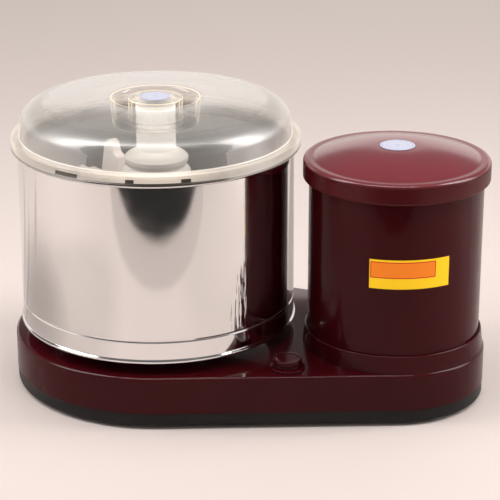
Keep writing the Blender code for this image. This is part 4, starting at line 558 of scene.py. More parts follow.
@dataclass(frozen=True)
class PolishedSteel(Finish):
    """Mirror-polished sheet steel with faint polishing lines round its axis and one crumpled patch; its
    duller inner lining is darkened low down by painted shade.
    """

    axis_x: float = DRUM_X
    roughness: float = 0.055
    smear_rough: float = 0.05
    line_rough: float = 0.03
    line_scales: Triple = (2600.0, 1.0, 2600.0)
    line_share: float = 0.004
    sheet_scales: Triple = (6.0, 1.3, 9.0)
    smears: Row = (28.0, 4.0, 0.6)
    smear_step: Point = (0.45, 0.8)
    smear_tone_step: Point = (0.3, 0.75)
    smear_shade: float = 0.985
    lining: Point = (104.0, 124.3)
    lining_edges: Point = (2.0, 0.3)
    lining_rough: float = 0.30
    lining_dull: float = 0.62
    lining_dark: float = 0.5
    lining_shade: Point = (172.0, 204.0)
    dent_angle: float = -42.5
    dent_width: float = 9.0
    dent_heights: Point = (76.0, 150.0)
    dent_depth: float = 5.0
    dent_scales: Triple = (1.0, 30.0, 22.0)
    relief: Point = (0.25, 0.0012)

    def surface(self, recipe: Recipe) -> Signal:
        """Wires the finish.

        Args:
            recipe: The material's recipe.

        Returns:
            Its shader.
        """
        around = recipe.about_axis(self.axis_x)
        radius, _, height = around
        lines = recipe.round_noise(around, self.line_scales)
        smears = recipe.noise(recipe.here(), *self.smears)
        near, far = self.lining
        inner, outer = self.lining_edges
        lining = radius.step(near - inner, near, MM) * radius.step(far + outer, far - outer, MM)
        rough = self.roughness + self.smear_rough * smears.step(*self.smear_step) + self.line_rough * lines
        smeared = shade(self.colour, self.smear_shade)
        tone = recipe.mixed(smears.step(*self.smear_tone_step), smeared, self.colour)
        # painted shade: the inner lining darkens below these heights
        low, high = self.lining_shade
        dark = shade(self.colour, self.lining_dark)
        tone = recipe.mixed(lining * height.step(high, low, MM), tone, dark)
        relief = recipe.round_noise(around, self.sheet_scales) + self.line_share * lines
        relief = recipe.bump(relief + self._dents(recipe, around), *self.relief)
        return recipe.shader(Base_Color=tone, Metallic=1 - self.lining_dull * lining,
                             Roughness=rough + self.lining_rough * lining, Normal=relief)

    def _dents(self, recipe: Recipe, around: Sequence[Signal]) -> Signal:
        """Makes the relief of the crumpled patch near the foot, the same at every radius.

        Args:
            recipe: The material's recipe.
            around: The radius, the angle and the height.

        Returns:
            The relief, 0 outside the patch.
        """
        low, high = self.dent_heights
        third = (high - low) / 3
        aside = abs(around[1] - self.dent_angle * DEGREE).step(self.dent_width, 0.0, DEGREE)
        inside = around[2].band(low + third, high - third, third) * aside
        return recipe.round_noise((0.0, *around[1:]), self.dent_scales) * inside * self.dent_depth


@dataclass(frozen=True)
class GlossLacquer(Finish):
    """Deep lacquer under a clear coat; faces that look up can be more coated and take a lighter colour,
    painted light from above.
    """

    # painted light from above: the colour of faces that look up
    top_colour: Colour = (0.060, 0.0022, 0.0050, 1.0)
    roughness: float = 0.20
    shine: float = 0.07
    coat: float = 0.14
    top_coat: float = 0.70
    coat_roughness: float = 0.05
    coat_index: float = 1.5
    peel: Row = (420.0, 2.0)
    cloud: Row = (14.0, 3.0)
    cloud_step: Point = (0.3, 0.7)
    cloud_share: float = 0.16
    cloud_grey: float = 0.004
    cloud_rough: float = 0.06
    tone_step: Point = (0.05, 0.98)
    coat_step: Point = (0.25, 0.9)
    relief: Point = (0.04, 0.0006)

    def surface(self, recipe: Recipe) -> Signal:
        """Wires the finish.

        Args:
            recipe: The material's recipe.

        Returns:
            Its shader.
        """
        here = recipe.here()
        cloud = recipe.noise(here, *self.cloud)
        up = recipe.split(recipe.add("ShaderNodeNewGeometry")["Normal"])[2]
        # painted light: faces that look up take the lighter top colour
        ground = recipe.mixed(up.step(*self.tone_step), self.colour, self.top_colour)
        dust = cloud.step(*self.cloud_step) * self.cloud_share
        tone = recipe.mixed(dust, ground, grey(self.cloud_grey))
        coat = self.coat + (self.top_coat - self.coat) * up.step(*self.coat_step)
        return recipe.shader(Base_Color=tone, Roughness=self.roughness + self.cloud_rough * cloud,
                             Specular_IOR_Level=self.shine, Coat_Weight=coat, Coat_IOR=self.coat_index,
                             Coat_Roughness=self.coat_roughness,
                             Normal=recipe.bump(recipe.noise(here, *self.peel), *self.relief))


@dataclass(frozen=True)
class ClearPlastic(Finish):
    """Clear moulded lid: it mirrors by its angle; its pale lip is partly frost and partly painted sheen,
    with painted highlight lines, painted shade and dark marks.
    """

    haze: float = 0.42
    haze_power: float = 4.0
    facing_blend: float = 0.5
    base_haze: float = 0.012
    flow_haze: float = 0.02
    edge_haze: float = 0.62
    most_haze: float = 0.93
    through_colour: Colour = (0.99, 0.985, 0.978, 1.0)
    mirror_index: float = 1.8
    most_mirror: float = 0.6
    inner_loss: float = 0.7
    crown: Point = (97.0, 106.0)
    crown_roughness: float = 0.09
    shoulder_roughness: float = 0.33
    flow_rough: float = 0.04
    flow_scales: Triple = (30.0, 2.0, 30.0)
    relief: Point = (0.3, 0.0008)
    knob_radius: float = 44.0
    knob_edge: float = 4.0
    knob_mirror: float = 0.40
    wall_top: Point = (264.0, 262.0)
    wall_facing: Point = (0.5, 0.88)
    wall_share: float = 0.8
    wall_colour: Colour = (0.90, 0.76, 0.56, 1.0)
    lip_top: float = 233.2
    lip_soft: float = 0.6
    # the lip's paleness at its sides and front: partly frost, partly painted sheen
    lip_haze: Point = (0.23, 0.60)
    lip_outside: float = 129.0
    lip_glow: float = 0.8
    lip_colour: Colour = (0.84, 0.74, 0.64, 1.0)
    rim_facing: Point = (0.86, 0.99)
    milk_roughness: float = 0.3
    milk_shine: float = 0.2
    glow: float = 0.5
    front_angle: float = -76.0
    front_half: float = 32.0
    foot: Point = (226.8, 226.0)
    foot_dark: Point = (0.30, 0.70)
    foot_ring: Point = (224.2, 226.2)
    foot_share: float = 1.4
    edge_rings: Rows = ((24.3, 265.0), (40.0, 265.4), (38.2, 242.6), (122.4, 233.4), (130.8, 232.2))
    ring_half: float = 1.0
    edge_colour: Colour = (0.84, 0.785, 0.72, 1.0)
    line_soft: float = 0.4
    marks: tuple[Point, ...] = ((-117.5, -107.5), (-87.7, -84.9), (-66.8, -63.5))
    mark_rise: Point = (226.4, 229.4)
    mark_soft: float = 0.3
    mark_share: float = 0.7
    well: Point = (25.4, 36.8)
    well_soft: float = 0.8
    well_rise: Point = (250.0, 247.0)
    well_share: float = 0.62
    well_side: Point = (0.3, 0.95)
    # colour of the painted shade and the dark marks
    dark_colour: Colour = (0.030, 0.020, 0.014, 1.0)
    dark_step: Point = (0.1, 0.4)

    def _ring(self, ring: Point, radius: Signal, height: Signal) -> Signal:
        """Makes a mask of one thin line round a moulded edge.

        Args:
            ring: The line's radius and height.
            radius: The radius.
            height: The height.

        Returns:
            The mask.
        """
        aside = radius - ring[0] * MM
        above = height - ring[1] * MM
        return ((aside * aside + above * above) ** 0.5).step(self.ring_half, self.ring_half / 3, MM)

    def _edges(self, recipe: Recipe, radius: Signal, height: Signal, front: Signal) -> Signal:
        """Finds the painted highlight lines of the lid: pale lines along its moulded edges and glints on the
        knob's walls and the rim.

        Args:
            recipe: The material's recipe.
            radius: The radius.
            height: The height.
            front: 1 at the lid's front and 0 aside.

        Returns:
            A mask of the lines.
        """
        facing = self._facing(recipe)
        outside = radius.step(self.lip_outside - self.line_soft, self.lip_outside, MM)
        # painted highlight: a pale line round the lip's foot, left out at the front
        lines = height.band(*self.foot_ring, self.line_soft) * outside * (1 - front) * self.foot_share
        # painted highlight lines round the moulded edges
        for ring in self.edge_rings:
            lines = lines.most(self._ring(ring, radius, height))
        knob = radius.step(self.knob_radius - self.knob_edge / 2, self.knob_radius - self.knob_edge, MM)
        # painted glints on the knob's inner walls at grazing angles
        wall_glints = facing.step(*self.wall_facing) * knob * height.step(*self.wall_top, MM) * self.wall_share
        # painted highlight on the lip's top rim at grazing angles
        rim = facing.step(*self.rim_facing) * height.step(self.lip_top - 1, self.lip_top + 1, MM)
        return lines.most(wall_glints).most(rim).least(1.0)

    def _darks(self, radius: Signal, angle: Signal, height: Signal, front: Signal) -> Signal:
        """Finds the painted shade of the lid and the dark marks on its lip.

        Args:
            radius: The radius.
            angle: The angle about the axis.
            height: The height.
            front: 1 at the lid's front and 0 aside.

        Returns:
            A mask of the dark places.
        """
        # painted shadow: a dark band under the lip's foot, strongest at the front
        least, more = self.foot_dark
        shade_and_marks = height.step(*self.foot, MM) * (least + more * front)
        outside = radius.step(self.lip_outside - self.line_soft, self.lip_outside, MM)
        rise = height.band(*self.mark_rise, self.mark_soft) * outside
        for mark in self.marks:
            shade_and_marks = shade_and_marks.most(angle.band(*mark, self.line_soft, DEGREE) * rise * self.mark_share)
        # painted shade: a dark crescent in the knob's well, on its sides away from the front
        aside = abs((angle - self.front_angle * DEGREE).wave()).step(*self.well_side)
        ring = radius.band(*self.well, self.well_soft) * height.step(*self.well_rise, MM)
        return shade_and_marks.most(ring * aside * self.well_share)

    def _facing(self, recipe: Recipe) -> Signal:
        """Returns how far a face turns from the eye."""
        return recipe.add("ShaderNodeLayerWeight", None, {"Blend": self.facing_blend})["Facing"]

    def _clear(self, recipe: Recipe, radius: Signal, flow: Signal, relief: Signal) -> Signal:
        """Wires the clear plastic: what is seen through it and what it mirrors.

        Args:
            recipe: The material's recipe.
            radius: The radius.
            flow: The moulding's faint waves.
            relief: Their normal.

        Returns:
            Its shader.
        """
        through = recipe.add("ShaderNodeBsdfTransparent", None, {"Color": self.through_colour})["BSDF"]
        shoulder = (self.shoulder_roughness - self.crown_roughness) * radius.step(*self.crown, MM)
        rough = self.crown_roughness + shoulder + self.flow_rough * flow
        inputs = {"Color": grey(1.0), "Roughness": rough, "Normal": relief}
        shine = recipe.add("ShaderNodeBsdfAnisotropic", {"distribution": "GGX"}, inputs)["BSDF"]
        mirror = recipe.add("ShaderNodeFresnel", None, {"IOR": self.mirror_index, "Normal": relief})["Fac"]
        inner = recipe.add("ShaderNodeNewGeometry")["Backfacing"]
        outward = radius.step(self.knob_radius - self.knob_edge, self.knob_radius + self.knob_edge, MM)
        over_knob = self.knob_mirror + (1 - self.knob_mirror) * outward
        mirror = mirror * (1 - self.inner_loss * inner) * over_knob
        return recipe.mixed_shaders(mirror.least(self.most_mirror), through, shine)

    def surface(self, recipe: Recipe) -> Signal:
        """Wires the finish.

        Args:
            recipe: The material's recipe.

        Returns:
            Its shader.
        """
        around = recipe.about_axis(DRUM_X)
        radius, angle, height = around
        flow = recipe.round_noise(around, self.flow_scales, 3.0)
        relief = recipe.bump(flow, *self.relief)
        lip = height.step(self.lip_top + self.lip_soft, self.lip_top - self.lip_soft, MM)
        # the front is the side towards the camera, where the painted sheen, highlights and shade differ
        front = abs(angle - self.front_angle * DEGREE).step(self.front_half, 0.0, DEGREE)
        edges = self._edges(recipe, radius, height, front)
        shade_and_marks = self._darks(radius, angle, height, front)
        aside, ahead = self.lip_haze
        # painted sheen: the milky veil grows at grazing angles and on the lip, over a little frost and flow
        veil = self.base_haze + self.haze * self._facing(recipe) ** self.haze_power
        veil = veil + lip * (aside + (ahead - aside) * front) + self.flow_haze * flow
        veil = veil.most(edges * self.edge_haze).most(shade_and_marks)
        knob = radius.step(self.knob_radius + 1, self.knob_radius, MM)
        # painted highlight colours: pale along the edges, golden on the knob's walls
        line_tone = recipe.mixed(knob, self.edge_colour, self.wall_colour)
        tone = recipe.mixed(edges, recipe.mixed(lip, self.colour, self.lip_colour), line_tone)
        # painted glow on the highlight lines and the lip
        glow = recipe.mixed(edges.most(lip * self.lip_glow), grey(0.0), tone)
        dark = shade_and_marks.step(*self.dark_step)
        frost_and_painted_light = recipe.shader(Base_Color=recipe.mixed(dark, tone, self.dark_colour),
                             Roughness=self.milk_roughness, Specular_IOR_Level=self.milk_shine,
                             Emission_Color=recipe.mixed(dark, glow, grey(0.0)),
                             Emission_Strength=self.glow, Normal=relief)
        clear = self._clear(recipe, radius, flow, relief)
        return recipe.mixed_shaders(veil.least(self.most_haze), clear, frost_and_painted_light)


@dataclass(frozen=True)
class Granite(Finish):
    """Fine-ground granite: pale and dark crystals in a grey ground."""

    grain_scale: float = 420.0
    cloud: Row = (55.0, 4.0, 0.6)
    cloud_share: float = 0.3
    chips: Row = (900.0, 3.0, 0.7)
    chip_step: Point = (0.56, 0.7)
    chip_share: float = 0.5
    chip_grey: float = 0.03
    chip_rough: float = 0.25
    roughness: float = 0.42
    crystal_relief: float = 0.4
    blacks: tuple[Point, ...] = ((0.0, 0.025), (0.22, 0.06))
    shares: tuple[Point, ...] = ((0.45, 0.8), (0.7, 1.25), (0.9, 1.9), (1.0, 2.6))
    relief: Point = (0.3, 0.0003)

    def surface(self, recipe: Recipe) -> Signal:
        """Wires the finish.

        Args:
            recipe: The material's recipe.

        Returns:
            Its shader.
        """
        here = recipe.here()
        inputs = {"Vector": here, "Scale": self.grain_scale}
        random = recipe.split(recipe.add("ShaderNodeTexVoronoi", {"feature": "F1"}, inputs)["Color"])[0]
        stops = [(place, grey(value)) for place, value in self.blacks]
        stops += [(place, shade(self.colour, share)) for place, share in self.shares]
        cloud = recipe.noise(here, *self.cloud)
        crystals = recipe.ramp(random * (1 - self.cloud_share) + cloud * self.cloud_share, stops)
        chips = recipe.noise(here, *self.chips)
        chipped = chips.step(*self.chip_step) * self.chip_share
        tone = recipe.mixed(chipped, crystals, grey(self.chip_grey))
        return recipe.shader(Base_Color=tone, Roughness=self.roughness + self.chip_rough * chips,
                             Normal=recipe.bump(chips + self.crystal_relief * random, *self.relief))


@dataclass(frozen=True)
class PrintedDisc(Grained):
    """Pale round film with plain rings printed on it."""

    grain: Row = (900.0, 3.0)
    cloud: Row = (900.0, 3.0)
    cloud_step: Point | None = None
    tones: Point = (0.94, 1.0)
    roughness: float = 0.3
    spread: float = 0.15
    relief: Point = (0.08, 0.0001)
    coat: float = 0.3
    coat_roughness: float = 0.1
    axis_x: float = DRUM_X
    radius: float = 13.7
    ink: Colour = (0.30, 0.38, 0.66, 1.0)
    ink_share: float = 0.55
    middle: Point = (0.16, 0.12)
    rings: tuple[Point, ...] = ((0.86, 0.92), (0.60, 0.63))
    ring_soft: float = 0.015

    def tint(self, recipe: Recipe, tone: Signal) -> Signal:
        """Prints the rings.

        Args:
            recipe: The material's recipe.
            tone: The film's tone.

        Returns:
            The tone with the rings on it.
        """
        radius = recipe.about_axis(self.axis_x)[0] / (self.radius * MM)
        inked = radius.step(*self.middle)
        for ring in self.rings:
            inked = inked.most(radius.band(*ring, self.ring_soft, 1.0))
        return recipe.mixed(inked * self.ink_share, tone, self.ink)

    def extras(self, recipe: Recipe, tone: Signal) -> dict[str, Any]:
        """Returns the shader's inputs for its clear coat."""
        return {"Coat_Weight": self.coat, "Coat_Roughness": self.coat_roughness}


@dataclass(frozen=True)
class PrintedLabel(Grained):
    """Yellow film with an orange field inside a thin red frame."""

    grain: Row = (700.0, 3.0)
    cloud: Row = (700.0, 3.0)
    cloud_step: Point | None = None
    tones: Point = (0.95, 1.0)
    roughness: float = 0.28
    spread: float = 0.1
    shine: float = 0.2
    relief: Point = (0.06, 0.0001)
    angles: Point = (-99.3, -46.7)
    heights: Point = (127.6, 154.0)
    field_colour: Colour = (0.80, 0.20, 0.014, 1.0)
    frame_colour: Colour = (0.48, 0.02, 0.008, 1.0)
    field_low: Point = (0.025, 0.40)
    field_high: Point = (0.80, 0.90)
    line_share: float = 0.012
    line_shape: float = 2.7
    line_soft: float = 0.004
    # strength of the painted glow that lights the label
    brightness: float = 0.32

    def _inside(self, across: Signal, up: Signal, grow: float) -> Signal:
        """Makes a mask of the field.

        Args:
            across: The place along the label, 0 to 1.
            up: The place up the label, 0 to 1.
            grow: How far the field is grown, as a share of the label's length.

        Returns:
            1 inside the field and 0 outside.
        """
        (left, low), (right, high) = self.field_low, self.field_high
        rise = grow * self.line_shape
        sides = across.band(left - grow, right + grow, self.line_soft, 1.0)
        return sides * up.band(low - rise, high + rise, self.line_soft, 1.0)

    def tint(self, recipe: Recipe, tone: Signal) -> Signal:
        """Prints the frame and the field.

        Args:
            recipe: The material's recipe.
            tone: The film's tone.

        Returns:
            The tone with both on it.
        """
        angle, height = recipe.about_axis(TOWER_X)[1:]
        start, end = self.angles
        across = (angle - start * DEGREE) / ((end - start) * DEGREE)
        bottom, top = self.heights
        up = (height - bottom * MM) / ((top - bottom) * MM)
        framed = recipe.mixed(self._inside(across, up, self.line_share), tone, self.frame_colour)
        return recipe.mixed(self._inside(across, up, 0.0), framed, self.field_colour)

    def extras(self, recipe: Recipe, tone: Signal) -> dict[str, Any]:
        """Returns the shader's inputs for its painted glow, an emission that stands in for light on the
        upright label.
        """
        return {"Emission_Color": tone, "Emission_Strength": self.brightness}


@dataclass(frozen=True)
class StudioPaper(Finish):
    """The floor: plain matt paper."""

    cloud: Point = (3.0, 2.0)
    cloud_shade: float = 0.995
    roughness: float = 0.9
    shine: float = 0.1

    def surface(self, recipe: Recipe) -> Signal:
        """Wires the finish.

        Args:
            recipe: The material's recipe.

        Returns:
            Its shader.
        """
        cloud = recipe.noise(recipe.here(), *self.cloud)
        tone = recipe.mixed(cloud, shade(self.colour, self.cloud_shade), self.colour)
        return recipe.shader(Base_Color=tone, Roughness=self.roughness, Specular_IOR_Level=self.shine)


@dataclass(frozen=True)
class Patch:
    """One soft-edged round patch on the floor's mirrored side."""

    centre: Point
    half: Point
    share: float
    soft: float
    turn: float = 0.0

    def cover(self, x: Signal, y: Signal) -> Signal:
        """Finds how much the patch darkens a place.

        Args:
            x: The place along X.
            y: The place along Y.

        Returns:
            Its share there, 0 outside it.
        """
        aside = x - self.centre[0] * MM
        ahead = y - self.centre[1] * MM
        cosine, sine = math.cos(self.turn * DEGREE), math.sin(self.turn * DEGREE)
        across = (aside * cosine + ahead * sine) / (self.half[0] * MM)
        along = (ahead * cosine - aside * sine) / (self.half[1] * MM)
        return ((across * across + along * along) ** 0.5).step(1 + self.soft, 1 - self.soft) * self.share


@dataclass(frozen=True)
class DarkRoom(Finish):
    """What polished faces mirror beyond the table: darker parts of the room."""

    patches: tuple[Patch, ...] = ()

    def surface(self, recipe: Recipe) -> Signal:
        """Wires the finish.

        Args:
            recipe: The material's recipe.

        Returns:
            Its shader.
        """
        x, y, _ = recipe.split(recipe.here())
        total: Any = 0.0
        for patch in self.patches:
            total = patch.cover(x, y).most(total)
        dark = recipe.add("ShaderNodeEmission", None, {"Color": self.colour, "Strength": 1.0})["Emission"]
        return recipe.mixed_shaders(total, recipe.add("ShaderNodeBsdfTransparent")["BSDF"], dark)


FINISHES: dict[Slot, Finish] = {
    Slot.MAROON: GlossLacquer("maroon_gloss_finish", (0.044, 0.0016, 0.0034, 1.0)),
    Slot.BLACK_PLASTIC: SatinPlastic("black_plastic_finish", (0.010, 0.009, 0.009, 1.0)),
    Slot.POLISHED_STEEL: PolishedSteel("polished_steel_finish", (0.80, 0.788, 0.779, 1.0)),
    Slot.MACHINED_STEEL: MachinedSteel("machined_steel_finish", (0.56, 0.56, 0.57, 1.0)),
    Slot.CAST_ALUMINIUM: CastMetal("cast_aluminium_finish", (0.60, 0.60, 0.61, 1.0)),
    Slot.CLEAR_LID: ClearPlastic("clear_lid_finish", (0.90, 0.85, 0.80, 1.0)),
    Slot.WHITE_NYLON: Nylon("white_nylon_finish", (0.94, 0.895, 0.84, 1.0)),
    Slot.GRANITE: Granite("grey_granite_finish", (0.15, 0.145, 0.14, 1.0)),
    Slot.RUBBER: Rubber("black_rubber_finish", (0.016, 0.016, 0.016, 1.0)),
    Slot.COPPER: WoundCopper("copper_winding_finish", (0.58, 0.23, 0.10, 1.0)),
    Slot.LAMINATION: Laminations("lamination_finish", (0.28, 0.28, 0.30, 1.0)),
    Slot.STICKER: PrintedDisc("lid_sticker_finish", (0.61, 0.62, 0.76, 1.0)),
    Slot.LABEL: PrintedLabel("side_label_finish", (0.90, 0.55, 0.012, 1.0)),
    Slot.RED_LEAD: SatinPlastic("red_lead_finish", (0.42, 0.02, 0.015, 1.0)),
    Slot.GREY_CAN: CastMetal("grey_can_finish", (0.46, 0.47, 0.49, 1.0)),
}
# painted light: the cap's faces that look up take a far lighter colour than its sides
CAP_LACQUER = GlossLacquer("cap_lacquer_finish", (0.070, 0.0021, 0.0045, 1.0), (0.21, 0.024, 0.036, 1.0),
                           roughness=0.34, shine=0.10, coat=0.10, top_coat=1.0, coat_roughness=0.17,
                           coat_index=1.88)
CAP_STICKER = PrintedDisc("cap_sticker_finish", (0.61, 0.62, 0.76, 1.0), axis_x=TOWER_X, radius=15.5)
ROLLER_GRANITE = Granite("roller_granite_finish", (0.27, 0.262, 0.25, 1.0))
# the wiper's painted glow is even from foot to head
WIPER_NYLON = Nylon("wiper_nylon_finish", (0.86, 0.78, 0.735, 1.0), glow=0.22,
                    shares=((0.0, 1.0), (1.0, 1.0)))
TOWER_STEEL = MachinedSteel("motor_steel_finish", (0.56, 0.56, 0.57, 1.0), axis_x=TOWER_X)


# Shapes


def rounded(*rows: Row) -> list[Point]:
    """Rounds the corners of a closed profile.

    Args:
        rows: The corners in order, each a radius, a height and its rounding, none if left out.

    Returns:
        The profile's points.
    """
    points: list[Point] = []
    spots = [Vector(row[:2]) for row in rows]
    for index, row in enumerate(rows):
        here = spots[index]
        back = spots[index - 1] - here
        ahead = spots[(index + 1) % len(rows)] - here
        if len(row) < 3 or back.length == 0 or ahead.length == 0:
            points.append((here.x, here.y))
            continue
        half = back.angle(ahead) / 2
        reach = min(row[2] / math.tan(half), back.length * MOST_OF_SIDE, ahead.length * MOST_OF_SIDE)
        size = reach * math.tan(half)
        centre = here + (back.normalized() + ahead.normalized()).normalized() * (size / math.sin(half))
        spoke = here + back.normalized() * reach - centre
        turn = math.pi - 2 * half
        way = 1.0 if spoke.x * ahead.y - spoke.y * ahead.x > 0 else -1.0
        steps = max(2, math.ceil(turn / CURVE_STEP))
        for step in range(steps + 1):
            angle = way * turn * step / steps
            points.append((centre.x + spoke.x * math.cos(angle) - spoke.y * math.sin(angle),
                           centre.y + spoke.x * math.sin(angle) + spoke.y * math.cos(angle)))
    return points


def supported(profile: Sequence[Point]) -> list[Point]:
    """Adds a point near both ends of each long straight stretch, so that it is shaded straight.

    Args:
        profile: A closed profile.

    Returns:
        The profile with the added points.
    """
    points: list[Point] = []
    for index, here in enumerate(profile):
        after = profile[(index + 1) % len(profile)]
        length = math.dist(here, after)
        points.append(here)
        shares = (SUPPORT / length, 1 - SUPPORT / length) if length > LONG_FACE else ()
        points += [(here[0] + (after[0] - here[0]) * share, here[1] + (after[1] - here[1]) * share)
                   for share in shares]
    return points


def arc(centre: Point, radii: Point, start: float, end: float, steps: int) -> list[Point]:
    """Returns the points of an elliptic arc between two angles in degrees."""
    angles = [(start + (end - start) * step / steps) * DEGREE for step in range(steps + 1)]
    return [(centre[0] + radii[0] * math.cos(angle), centre[1] + radii[1] * math.sin(angle))
            for angle in angles]


def bar(radius: float, low: float, high: float, rounding: float = 0.0) -> Rows:
    """Returns the corners of a round bar, with its upper edge rounded if a rounding is given."""
    return (0, high), (radius, high, rounding) if rounding else (radius, high), (radius, low), (0, low)


def make_object(name: str, verts: Sequence[Sequence[float]], faces: Sequence[Sequence[int]],
                place: Matrix | None = None) -> bpy.types.Object:
    """Makes a solid from points in millimetres.

    Args:
        name: The object's name.
        verts: Its points.
        faces: Its faces.
        place: A turn and shift in millimetres.

    Returns:
        The object, at the origin, with its place in its mesh.
    """
    mesh = bpy.data.meshes.new(name)
    mesh.from_pydata(verts, [], faces)
    mesh.transform(Matrix.Scale(MM, 4) @ (place or Matrix.Identity(4)))
    obj = bpy.data.objects.new(name, mesh)
    bpy.context.scene.collection.objects.link(obj)
    return smooth(obj)


def smooth(obj: bpy.types.Object) -> bpy.types.Object:
    """Turns faces outward and shades them smooth up to sharp edges.

    Args:
        obj: A mesh object.

    Returns:
        The same object.
    """
    work = bmesh.new()
    work.from_mesh(obj.data)
    bmesh.ops.recalc_face_normals(work, faces=work.faces)
    work.to_mesh(obj.data)
    work.free()
    obj.data.shade_smooth()
    obj.data.set_sharp_from_angle(angle=SHARP_ANGLE)
    return obj


def turned(name: str, profile: Sequence[Point], place: Matrix, steps: int = Steps.WIDE) -> bpy.types.Object:
    """Turns a closed profile about the local Z axis.

    Args:
        name: The object's name.
        profile: Points of radius and height.
        place: Where the axis stands.
        steps: The number of steps round it.

    Returns:
        The solid.
    """
    verts: list[Triple] = []
    rings: list[list[int]] = []
    for radius, height in supported(profile):
        count = 1 if radius < AXIS_LIMIT else steps
        rings.append(list(range(len(verts), len(verts) + count)))
        angles = [math.tau * step / steps for step in range(count)]
        verts += [(radius * math.cos(angle), radius * math.sin(angle), height) for angle in angles]
    faces = []
    for ring, other in zip(rings, rings[1:] + rings[:1]):
        if len(ring) == 1 and len(other) == 1:
            continue
        for step in range(steps):
            after = (step + 1) % steps
            face = [ring[step % len(ring)], other[step % len(other)], other[after % len(other)],
                    ring[after % len(ring)]]
            faces.append(list(dict.fromkeys(face)))
    return make_object(name, verts, faces, place)


def lofted(name: str, loops: Sequence[Sequence[Point]], heights: Sequence[float],
           place: Matrix | None = None, edge: float = 0.0) -> bpy.types.Object:
    """Joins outlines of equal length, one above or inside the next, and closes both ends.

    Args:
        name: The object's name.
        loops: The outlines.
        heights: The height of each.
        place: A turn and shift in millimetres.
        edge: The rounding of the sharp edges.

    Returns:
        The solid.
    """
    count = len(loops[0])
    verts = [(x, y, height) for loop, height in zip(loops, heights) for x, y in loop]
    faces: list[list[int]] = [list(range(count)), list(range(len(verts) - count, len(verts)))]
    for low in range(0, len(verts) - count, count):
        for step in range(count):
            after = (step + 1) % count
            faces.append([low + step, low + after, low + count + after, low + count + step])
    obj = make_object(name, verts, faces, place)
    if edge:
        bevel = obj.modifiers.new("edges", "BEVEL")
        bevel.width = edge * MM
        bevel.segments = EDGE_STRIPS
        bevel.limit_method = "ANGLE"
        bevel.angle_limit = SHARP_ANGLE
        settle(obj)
    return obj


def block(name: str, low: Triple, high: Triple, place: Matrix | None = None,
          edge: float = 0.0) -> bpy.types.Object:
    """Returns a box between two corners, with rounded edges if an edge is given."""
    outline = [(low[0], low[1]), (high[0], low[1]), (high[0], high[1]), (low[0], high[1])]
    return lofted(name, [outline] * 2, (low[2], high[2]), place, edge)


def settle(obj: bpy.types.Object) -> bpy.types.Object:
    """Writes an object's modifiers into its mesh.

    Args:
        obj: The object.

    Returns:
        The same object, without modifiers.
    """
    bpy.context.view_layer.update()
    depsgraph = bpy.context.evaluated_depsgraph_get()
    mesh = bpy.data.meshes.new_from_object(obj.evaluated_get(depsgraph))
    obj.modifiers.clear()
    mesh.name = obj.name
    obj.data = mesh
    return smooth(obj)


def combined(obj: bpy.types.Object, join: Join, *tools: bpy.types.Object) -> bpy.types.Object:
    """Joins tools to a solid or cuts them from it, and removes them.

    Args:
        obj: The solid.
        join: Whether the tools are added or cut away.
        tools: The other solids.

    Returns:
        The same object.
    """
    for tool in tools:
        modifier = obj.modifiers.new(tool.name, "BOOLEAN")
        modifier.object = tool
        modifier.operation = join.value
        modifier.solver = "EXACT"
        settle(obj)
        bpy.data.objects.remove(tool, do_unlink=True)
    return obj


def upright(x: float, y: float = 0.0, angle: float = 0.0) -> Matrix:
    """Returns a place on the floor plan, turned by an angle in degrees."""
    return Matrix.Translation((x, y, 0)) @ Matrix.Rotation(angle * DEGREE, 4, "Z")


def lying(x: float, y: float, z: float, heading: float) -> Matrix:
    """Returns a place whose local Z axis lies level along a heading in degrees."""
    flat = Matrix.Rotation(heading * DEGREE, 4, "Z") @ Matrix.Rotation(math.pi / 2, 4, "Y")
    return Matrix.Translation((x, y, z)) @ flat


DRUM_AXIS = upright(DRUM_X)
TOWER_AXIS = upright(TOWER_X)


@dataclass(frozen=True)
class Tool:
    """Equal round bars, evenly placed about an axis, that are added to a solid or cut from it."""

    join: Join
    radius: float
    low: float
    high: float
    rounding: float = 0.0
    steps: int = Steps.SMALL
    reach: float = 0.0
    count: int = 1

    def work(self, obj: bpy.types.Object, place: Matrix) -> None:
        """Adds or cuts the bars.

        Args:
            obj: The solid.
            place: Where the axis stands.
        """
        profile = rounded(*bar(self.radius, self.low, self.high, self.rounding))
        for number in range(self.count):
            spot = place @ upright(0, 0, 360 / self.count * number) @ Matrix.Translation((self.reach, 0, 0))
            combined(obj, self.join, turned(f"{obj.name}_tool", profile, spot, self.steps))


@dataclass(frozen=True)
class Turning:
    """One turned piece; a pair of braces in its names holds a side or a number."""

    name: str
    node: str
    slot: Slot
    rows: Rows
    steps: int = Steps.WIDE
    tools: tuple[Tool, ...] = ()
    finish: Finish | None = None

    def make(self, place: Matrix, mark: Any = "") -> bpy.types.Object:
        """Turns the piece and works its tools on it.

        Args:
            place: Where its axis stands.
            mark: Its side or number.

        Returns:
            The piece.
        """
        piece = turned(self.name.format(mark), rounded(*self.rows), place, self.steps)
        for tool in self.tools:
            tool.work(piece, place)
        return piece


